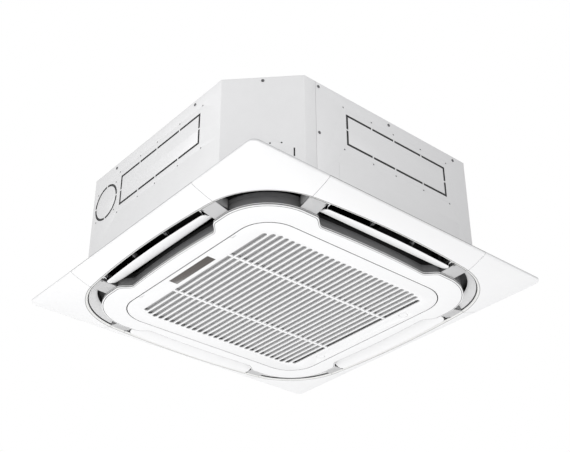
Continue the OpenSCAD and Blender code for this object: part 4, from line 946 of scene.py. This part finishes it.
def make_flap(node, k):
    half = steps(0, FLAP_HALF - FLAP_END_R, 24)
    half += [FLAP_HALF - FLAP_END_R * (1 - math.sin(math.radians(a))) for a in steps(0, 90, 8)[1:]]
    stations = [-s for s in half[:0:-1]] + half
    blade, arms = Shape(), Shape()
    blade.loft([[turned(opened(p), k) for p in flap_ring(s)] for s in stations])
    for side in (-1, 1):
        place = lambda x, y, z, side=side: turned(opened((side * z, x, y)), k)
        for shape, s, r, pin_r, (low, high) in (
            (blade, FLAP_HALF - 2 * EAR_T, EAR_R, PIN_R, END_PIN),
            (arms, MID_ARM_S + ARM_T / 2 + 0.3, ARM_R, MID_PIN_R, MID_PIN),
        ):
            ear = [(-d, h) for d, h in arc(0, 0, r, -10, 190, 12)]
            ear += [(FLAP_OUT * x, FLAP_OUT_DROP * h) for x, h in EAR_FOOT]
            shape.prism(ear, s, s + EAR_T, place)
            tip = [(pin_r, high - PIN_ROUND), (pin_r - PIN_ROUND, high), (0, high)]
            shape.lathe([(0, low), (pin_r, low), *tip], place, 20)
    place_for(blade.build(node + "_blade", sharp=40), node)
    dress(place_for(arms.build(node + "_arms", sharp=40), node), "throat_dark")


def make_flaps():
    for k, node in enumerate(("flap_back", "flap_right", "flap_front", "flap_left")):
        make_flap(node, k)


# Grille
GRILLE_HALF = 309.1
GRILLE_R = 84
SLOT_COUNT = 29
SLOT_PITCH = 18.16
SLOT_W = 12.9
SLOT_HALF_LEN = 264
SLOT_TRIM = (15, 5)
RIB_Y = 114
RIB_W = 7
RIB_Z = (FACE_Z + 1.5, FACE_Z + 7)
PLATE_DEEP = 3.5
RIM_WALL = 2.5
RIM_H = 12
BUTTON_X = 283
BUTTON_Y = 164
BUTTON_R = 11.5
WINDOW_X = (-297, -272)
WINDOW_HALF_Y = 80
WINDOW_GAP = 0.2
WINDOW_Z = (FACE_Z + 0.15, FACE_Z + 4)
HINGE_Y = 190
HINGE_X = -305
HINGE_PIN_Z = FACE_Z + 1.5
HINGE_PIN_R = 1.3
HINGE_PIN_HALF = 9
BUTTON_GAP = 0.4
DISH_R = 9.4
DISH_DEEP = 0.5
CAP_R = 10.4
CAP_ROUND = 0.8
BUTTON_BACK = [(11.2, 3.6), (14, 3.6), (14, 5), (4, 5), (4, 15), (0, 15)]
FILTER_BAR = 8
FILTER_LIFT = 2.4
NET_OVER = 14
NET_LIFT = (1.8, 2.3)


def slot_outline(i):
    e = min(i, SLOT_COUNT - 1 - i)
    h = SLOT_HALF_LEN - (SLOT_TRIM[e] if e < len(SLOT_TRIM) else 0) - SLOT_W / 2
    x = (i - (SLOT_COUNT - 1) / 2) * SLOT_PITCH
    return arc(x, h, SLOT_W / 2, 0, 180, 10) + arc(x, -h, SLOT_W / 2, 180, 360, 10)


def notched_square(half, r, notch_x, notch_half):
    """A round square with a notch at each hinge, on its -X edge."""
    points = []
    for x, y in round_square(half, r):
        points.append((x, y))
        if len(points) == 22:
            for c in (HINGE_Y, -HINGE_Y):
                points += [(-half, c + notch_half), (notch_x, c + notch_half)]
                points += [(notch_x, c - notch_half), (-half, c - notch_half)]
    return points


def make_grille():
    low, high = box_mm("hinge_blocks")
    notch_x = high.x + 0.5
    notch_half = (high.y - HINGE_Y) + 0.6
    outer = notched_square(GRILLE_HALF, GRILLE_R, notch_x, notch_half)
    window = rect(*WINDOW_X, -WINDOW_HALF_Y, WINDOW_HALF_Y)
    hole_r = BUTTON_R + BUTTON_GAP
    buttons = [arc(BUTTON_X, y, hole_r, 0, 350, 35) for y in (-BUTTON_Y, BUTTON_Y)]
    slots = [slot_outline(i) for i in range(SLOT_COUNT)]
    shape = Shape()
    shape.plate(outer, [window, *buttons, *slots], FACE_Z, FACE_Z + PLATE_DEEP, 0.45, plain)
    half, r = GRILLE_HALF - RIM_WALL, GRILLE_R - RIM_WALL
    inner = notched_square(half, r, notch_x + RIM_WALL, notch_half + RIM_WALL)
    shape.plate(outer, [inner], FACE_Z + PLATE_DEEP - 0.5, FACE_Z + RIM_H, 0.4, plain)
    reach = SLOT_PITCH * SLOT_COUNT / 2
    for y in (-RIB_Y, RIB_Y):
        rib = rect(-reach, reach, y - RIB_W / 2, y + RIB_W / 2)
        shape.plate(rib, [], *RIB_Z, 0.5, plain)
    for y in (-HINGE_Y, HINGE_Y):
        place = lambda x, z, d, y=y: (x + HINGE_X, y + d, z + HINGE_PIN_Z)
        half, r = HINGE_PIN_HALF, HINGE_PIN_R
        shape.lathe([(0, -half), (r, -half), (r, half), (0, half)], place, 20)
    place_for(shape.build("intake_grille_face"), "intake_grille")
    # A dark ring on the grille's side of the gap, painted shade.
    shape = Shape()
    outer = notched_square(GRILLE_HALF + 0.3, GRILLE_R + 0.3, notch_x - 0.3, notch_half - 0.3)
    inner = notched_square(GRILLE_HALF - 1, GRILLE_R - 1, notch_x + 1, notch_half + 1)
    shape.plate(outer, [inner], *GAP_SHADE_Z, GAP_SHADE_ROUND, plain)
    dress(place_for(shape.build("intake_grille_gap_shade"), "intake_grille"), "seal_black")


def make_buttons():
    for node, y in (("latch_button_left", BUTTON_Y), ("latch_button_right", -BUTTON_Y)):
        place = lambda a, b, z, y=y: (BUTTON_X + a, y + b, FACE_Z + z)
        dish = [(r, DISH_DEEP * (1 - (r / DISH_R) ** 2)) for r in steps(0, DISH_R, 8)]
        edge = arc(CAP_R, CAP_ROUND, CAP_ROUND, -90, 0, 4)
        shape = Shape()
        shape.lathe([*dish, *edge, *BUTTON_BACK], place, 48)
        place_for(shape.build(node + "_cap"), node)


def make_window():
    low, high = box_mm("display_window")
    x0, x1 = WINDOW_X[0] + WINDOW_GAP, WINDOW_X[1] - WINDOW_GAP
    y = WINDOW_HALF_Y - WINDOW_GAP
    shape = Shape()
    shape.plate(rect(x0, x1, -y, y), [], *WINDOW_Z, 0.4, plain)
    back = rect(low.x, high.x, low.y, high.y)
    shape.plate(back, [], FACE_Z + PLATE_DEEP + 0.3, high.z, 0.3, plain)
    place_for(shape.build("display_window_lens"), "display_window")


def make_filter():
    """Moulded frame with cross bars, and the net stretched over it."""
    low, high = box_mm("filter_frame")
    half, bar = high.x, FILTER_BAR
    cells = []
    edges = [-half + bar / 2, -half / 2, 0, half / 2, half - bar / 2]
    for y0, y1 in zip(edges, edges[1:]):
        for x0, x1 in ((-half + bar, -2), (2, half - bar)):
            cells.append(rect(x0, x1, y0 + bar / 4, y1 - bar / 4))
    shape = Shape()
    shape.plate(round_square(half, bar), cells, low.z + FILTER_LIFT, high.z, 0.3, plain)
    place_for(shape.build("filter_frame_moulding"), "filter_frame")
    shape = Shape()
    net_low, net_high = (low.z + lift for lift in NET_LIFT)
    shape.plate(round_square(half + NET_OVER, bar), [], net_low, net_high, 0.1, plain)
    place_for(shape.build("filter_net"), "filter_mesh")


# Casing sheets: drawn flat along the casing's outline, then folded round it
CORNER_CUT = 140
SIDE_END = CASING_HALF - CORNER_CUT
FACE_LEN = 2 * SIDE_END
CORNER_LEN = CORNER_CUT * math.sqrt(2)
TURN_LEN = FACE_LEN + CORNER_LEN
BEND_R = 4
BEND_TURN = math.radians(45)
BEND_T = BEND_R * math.tan(BEND_TURN / 2)
SHEET_T = 1
KNOCK_W = 6.5
TIE_W = 4
KNOCK_BOX = (-148, 199, 170, 262)
TIE_SHARES = (0.25, 0.47, 0.75)
HOLE_R = 2.2
HOLE_OFF = 8
HOLE_RISE = 17
ROUND_Z = 213 + ARRIS_Z
ROUND_R = 49
ROUND_HOLE_OFF = 43
ROUND_AT = -216
CORNER_HOLE_Z = ARRIS_Z + 118
CORNER_HOLES = (18, 44.6)
CORNER_SLOT = (72, 75.5, 78, 102)
PIPE_WINDOW = (-88, 88, 24, 188)
FIELD = (-176, 232, 106)
FIELD_RISE = 0.05


def on_casing(u, depth, z):
    """A point at u along the outline from the middle of the front, depth under the surface."""
    k, rest = divmod(u + SIDE_END, TURN_LEN)
    bends = (
        (0, -45, (-SIDE_END, -CASING_HALF)),
        (FACE_LEN, 0, (SIDE_END, -CASING_HALF)),
        (TURN_LEN, 45, (CASING_HALF, -SIDE_END)),
    )
    x = y = heading = None
    for at, start, corner in bends:
        if abs(rest - at) < BEND_T:
            a = math.radians(start)
            heading = a + BEND_TURN * (rest - at + BEND_T) / (2 * BEND_T)
            cx = corner[0] - BEND_T * math.cos(a) - BEND_R * math.sin(a)
            cy = corner[1] - BEND_T * math.sin(a) + BEND_R * math.cos(a)
            x, y = cx + BEND_R * math.sin(heading), cy - BEND_R * math.cos(heading)
    if heading is None:
        heading = 0 if rest < FACE_LEN else BEND_TURN
        far = max(rest - FACE_LEN, 0)
        x = min(rest, FACE_LEN) - SIDE_END + far * math.cos(heading)
        y = -CASING_HALF + far * math.sin(heading)
    x -= depth * math.sin(heading)
    y += depth * math.cos(heading)
    c, s = QUARTER_TURNS[int(k) % 4]
    return (x * c - y * s, x * s + y * c, z)


def knock_out_square(u):
    """Slots that leave a panel held by small ties, and the holes round it."""
    x0, x1, z0, z1 = KNOCK_BOX
    x0, x1, z0, z1 = x0 + u, x1 + u, z0 + ARRIS_Z, z1 + ARRIS_Z
    width, mid, w, t = x1 - x0, (z0 + z1) / 2, KNOCK_W, TIE_W / 2
    ties = [x0 + width * f for f in TIE_SHARES]
    loops = []
    for low, high in ((z0, z0 + w), (z1 - w, z1)):
        for a, b in zip(ties, ties[1:]):
            loops.append(rect(a + t, b - t, low, high))
    for xa, xb, tie in ((x0, x0 + w, ties[0] - t), (x1, x1 - w, ties[-1] + t)):
        for za, zb, end in ((z0, z0 + w, mid - t), (z1, z1 - w, mid + t)):
            loops.append([(xa, za), (tie, za), (tie, zb), (xb, zb), (xb, end), (xa, end)])
    for f in (0, *TIE_SHARES, 1):
        shift = {0: -HOLE_OFF, 1: HOLE_OFF}.get(f, 0)
        for z in (z0 - HOLE_RISE, z1 + HOLE_RISE):
            loops.append(small_hole(x0 + width * f + shift, z))
    return loops


def small_hole(u, z):
    return arc(u, z, HOLE_R, 0, 330, 11)


def knock_out_round(u):
    """A ring of four slots, and four holes round it."""
    z, r = ROUND_Z, ROUND_R
    half_tie = math.degrees(TIE_W / 2 / r)
    loops = []
    for k in range(4):
        start, end = 90 * k + half_tie, 90 * k + 90 - half_tie
        outer = arc(u, z, r + KNOCK_W / 2, start, end, 12)
        loops.append(outer + arc(u, z, r - KNOCK_W / 2, end, start, 12))
    for x in (-ROUND_HOLE_OFF, ROUND_HOLE_OFF):
        for dz in (-ROUND_HOLE_OFF, ROUND_HOLE_OFF):
            loops.append(small_hole(u + x, z + dz))
    return loops


def corner_holes(u):
    u0, u1, z0, z1 = CORNER_SLOT
    loops = [small_hole(u + s, CORNER_HOLE_Z) for s in CORNER_HOLES]
    return loops + [rect(u + u0, u + u1, ARRIS_Z + z0, ARRIS_Z + z1)]


def casing_sheet(u0, u1, holes):
    """A flat sheet between two places on the outline, split at its bends and folded."""
    bends = []
    for k in range(-1, 5):
        bends += [k * TURN_LEN + SIDE_END, k * TURN_LEN + SIDE_END + CORNER_LEN]
    cuts = []
    for at in bends:
        cuts += [c for c in steps(at - BEND_T, at + BEND_T, 6) if u0 < c < u1]
    shape = Shape()
    place = lambda u, z, w: on_casing(u, SHEET_T - w, z)
    shape.plate(rect(u0, u1, CASING_Z, CASING_TOP_Z), holes, 0, SHEET_T, 0.12, place, cuts)
    return shape


FACE_AT = {"front": 0, "right": TURN_LEN, "back": 2 * TURN_LEN, "left": 3 * TURN_LEN}
CORNER_AT = [TURN_LEN * (k + 0.5) for k in range(4)]
SEAM_AT = 245
SEAM_STEP = 0.6


def make_casing():
    seam_right = SIDE_END
    seam_back = TURN_LEN + SIDE_END + CORNER_LEN
    seam_left = 3 * TURN_LEN - SIDE_END
    front = casing_sheet(-SEAM_AT, seam_right - SEAM_STEP, knock_out_square(0))
    field = rect(FIELD[0], FIELD[1], CASING_Z + 1, ARRIS_Z + FIELD[2])
    lift = lambda u, z, w: on_casing(u, -w - FIELD_RISE, z)
    front.plate(field, [], -0.5, 0.5, 0.3, lift)
    place_for(front.build("casing_front"), "casing_sheet_front")

    u0, u1, z0, z1 = PIPE_WINDOW
    window = rect(CORNER_AT[1] + u0, CORNER_AT[1] + u1, z0, z1)
    holes = knock_out_square(FACE_AT["right"]) + corner_holes(CORNER_AT[0]) + [window]
    right = casing_sheet(seam_right, seam_back, holes)
    place_for(right.build("casing_right"), "casing_sheet_right")

    start = seam_back + SEAM_STEP
    holes = knock_out_square(FACE_AT["back"]) + corner_holes(CORNER_AT[2])
    back = casing_sheet(start, start + FACE_LEN + CORNER_LEN - 1.5, holes)
    place_for(back.build("casing_back"), "casing_sheet_back")

    holes = knock_out_square(FACE_AT["left"]) + knock_out_round(FACE_AT["left"] + ROUND_AT)
    holes += corner_holes(CORNER_AT[3])
    left = casing_sheet(seam_left, 4 * TURN_LEN - SEAM_AT - SEAM_STEP, holes)
    place_for(left.build("casing_left"), "casing_sheet_left")


HEAD_R = 4
HEAD_FOOT = 0.05
DOME_TOP = 1.9
DOME_FALL = 0.9
RECESS_R = (1.3, 1.6)
RECESS_Z = (0.6, 1.5)
CROSS_ARM = (0.4, 1.5)
CROSS_TOP = 1.75
SCREW_Z = 301
CORNER_SCREW_Z = 303
SEAM_SCREW_Z = 164
SCREW_AT = 236
SIDE_SCREW_AT = 175


def cross_head(shape, place):
    """A domed screw head with a cross recess, its axis along the third coordinate."""
    dome = [(r, DOME_TOP - DOME_FALL * (r / HEAD_R) ** 2) for r in steps(RECESS_R[1], HEAD_R, 6)]
    foot = [(HEAD_R, HEAD_FOOT), (RECESS_R[0], HEAD_FOOT)]
    shape.lathe([*zip(RECESS_R, RECESS_Z), *dome, *foot], place, 24)
    for c, s in QUARTER_TURNS:
        turn = lambda x, y, z, c=c, s=s: place(x * c - y * s, x * s + y * c, z)
        shape.prism(rect(*CROSS_ARM, *CROSS_ARM), HEAD_FOOT, CROSS_TOP, turn)


def make_screws():
    shape = Shape()
    places = [(FACE_AT["front"] - SCREW_AT, SEAM_SCREW_Z)]
    for side, u in FACE_AT.items():
        wide = side in ("front", "back")
        stations = (-SCREW_AT, 0, SCREW_AT) if wide else (-SIDE_SCREW_AT, SIDE_SCREW_AT)
        places += [(u + s, SCREW_Z) for s in stations]
    places += [(u, CORNER_SCREW_Z) for u in CORNER_AT]
    for u, z in places:
        place = lambda x, y, h, u=u, z=z: on_casing(u + x, -h, ARRIS_Z + z + y)
        cross_head(shape, place)
    dress(place_for(shape.build("casing_screw_heads", sharp=40), "casing_screws"), "screw_dark")


# Nodes whose shape is right: their edges are rounded a little and their finish is set
ROUNDING = {
    "top_plate": 0.5, "hanger_brackets": 0.5, "hanger_bolts": 0.5, "pipe_cover_plate": 0.3,
    "cable_bush": 0.6, "flare_nuts": 0.6, "drain_socket": 0.5, "gas_pipe": 0, "liquid_pipe": 0,
    "drain_pan": 1.0, "drain_pump": 0.6, "pump_bracket": 0.3, "bell_mouth": 0, "fan_motor": 1.2,
    "turbo_fan": 0, "control_box": 0.3, "control_box_cover": 0.3, "terminal_block": 0.3,
    "flap_bearings": 0.4, "flap_motors": 0.4, "hinge_blocks": 0.3, "duct_foam": 0.8,
    "panel_screws": 0.4, "fan_nut": 0.4, "motor_studs": 0.3, "motor_grommets": 0.4,
}  # fmt: skip


WELD = 2e-6
FLAT_ANGLE = math.radians(1)


def refine(node, bevel):
    """A copy of a node with welded vertices, rounded edges and smooth shading."""
    source = frame["nodes"][node]
    bm = bmesh.new()
    bm.from_mesh(source.data)
    bmesh.ops.remove_doubles(bm, verts=bm.verts, dist=WELD)
    bmesh.ops.dissolve_limit(bm, angle_limit=FLAT_ANGLE, verts=bm.verts, edges=bm.edges)
    bmesh.ops.recalc_face_normals(bm, faces=bm.faces)
    mesh = bpy.data.meshes.new(node + "_body")
    bm.to_mesh(mesh)
    bm.free()
    obj = bpy.data.objects.new(node + "_body", mesh)
    bpy.context.scene.collection.objects.link(obj)
    finish_mesh(obj, 32, bevel)
    place_for(obj, node)


def make_inner():
    for node, bevel in ROUNDING.items():
        refine(node, bevel)
    for node, obj in frame["nodes"].items():
        if not obj.hide_render:
            dress(obj, SLOT_OF[node])


# Studio: places and sizes in metres, lens and sensor in millimetres
LENS = 68.36
SENSOR = 36
CAMERA_AT = (-1.5987, -1.9028, -1.4355)
CAMERA_RIGHT = (0.76393, -0.64529, -0.00282)
CAMERA_UP = (-0.34135, -0.40781, 0.84686)
CAMERA_AHEAD = (0.54762, 0.64598, 0.53180)
FLOOR_HALF = 9
FLOOR_Z = -2.6
AIR_LIGHT = (0.62, 0.62, 0.63, 1)
# name, place, target, size and power of each lamp
LAMPS = (
    ("light_below", (-0.1, 0.05, -2.3), (0, 0, 0), 2.6, 39),
    ("light_left", (-3.2, 0.6, 0.2), (0, 0, 0.05), 2.2, 40),
    ("light_front", (-0.2, -3.4, 0.4), (0, 0, 0.05), 2.2, 20),
)


def make_camera():
    data = bpy.data.cameras.new("camera")
    data.lens = LENS
    data.sensor_width = SENSOR
    data.clip_end = 60
    camera = bpy.data.objects.new("camera", data)
    rows = (Vector(CAMERA_RIGHT), Vector(CAMERA_UP), -Vector(CAMERA_AHEAD))
    camera.matrix_world = Matrix.Translation(CAMERA_AT) @ Matrix(rows).transposed().to_4x4()
    bpy.context.scene.collection.objects.link(camera)
    bpy.context.scene.camera = camera


def soft_light(name, place, target, size, power):
    data = bpy.data.lights.new(name, "AREA")
    data.shape = "SQUARE"
    data.size = size
    data.energy = power
    light = bpy.data.objects.new(name, data)
    light.location = place
    light.rotation_mode = "QUATERNION"
    light.rotation_quaternion = (Vector(target) - Vector(place)).to_track_quat("-Z", "Y")
    light.visible_camera = False
    bpy.context.scene.collection.objects.link(light)


def make_world():
    """White where the camera or a reflection looks past the object, plain grey light otherwise."""
    world = bpy.data.worlds.new("studio")
    world.use_nodes = True
    bpy.context.scene.world = world
    tree = world.node_tree
    tree.nodes.clear()
    light = node_of(tree, "ShaderNodeBackground")
    light.inputs["Color"].default_value = AIR_LIGHT
    white = node_of(tree, "ShaderNodeBackground")
    white.inputs["Color"].default_value = (1, 1, 1, 1)
    rays = node_of(tree, "ShaderNodeLightPath")
    seen = node_of(tree, "ShaderNodeMath", operation="MAXIMUM")
    either = node_of(tree, "ShaderNodeMath", operation="MAXIMUM")
    tree.links.new(rays.outputs["Is Camera Ray"], seen.inputs[0])
    tree.links.new(rays.outputs["Is Glossy Ray"], seen.inputs[1])
    tree.links.new(seen.outputs[0], either.inputs[0])
    tree.links.new(rays.outputs["Is Transmission Ray"], either.inputs[1])
    mix = node_of(tree, "ShaderNodeMixShader")
    tree.links.new(either.outputs[0], mix.inputs[0])
    tree.links.new(light.outputs[0], mix.inputs[1])
    tree.links.new(white.outputs[0], mix.inputs[2])
    out = node_of(tree, "ShaderNodeOutputWorld")
    tree.links.new(mix.outputs[0], out.inputs["Surface"])


def make_floor():
    """A plain pale floor, far below, as under a ceiling."""
    half, z = FLOOR_HALF / MM, FLOOR_Z / MM
    shape = Shape()
    shape.add([(x, y, z) for x, y in rect(-half, half, -half, half)], [(0, 1, 2, 3)])
    floor = shape.build("floor")
    floor.data.materials.append(surface("floor", (0.86, 0.86, 0.86), 0.8, mottle=(2, 0.01)))


make_camera()
make_world()
make_floor()
for lamp in LAMPS:
    soft_light(*lamp)
make_panel()
make_centre_frame()
make_bridges()
make_throat()
make_deflectors()
make_flaps()
make_grille()
make_buttons()
make_window()
make_filter()
make_casing()
make_screws()
make_inner()

bpy.context.scene.view_settings.view_transform = "Standard"
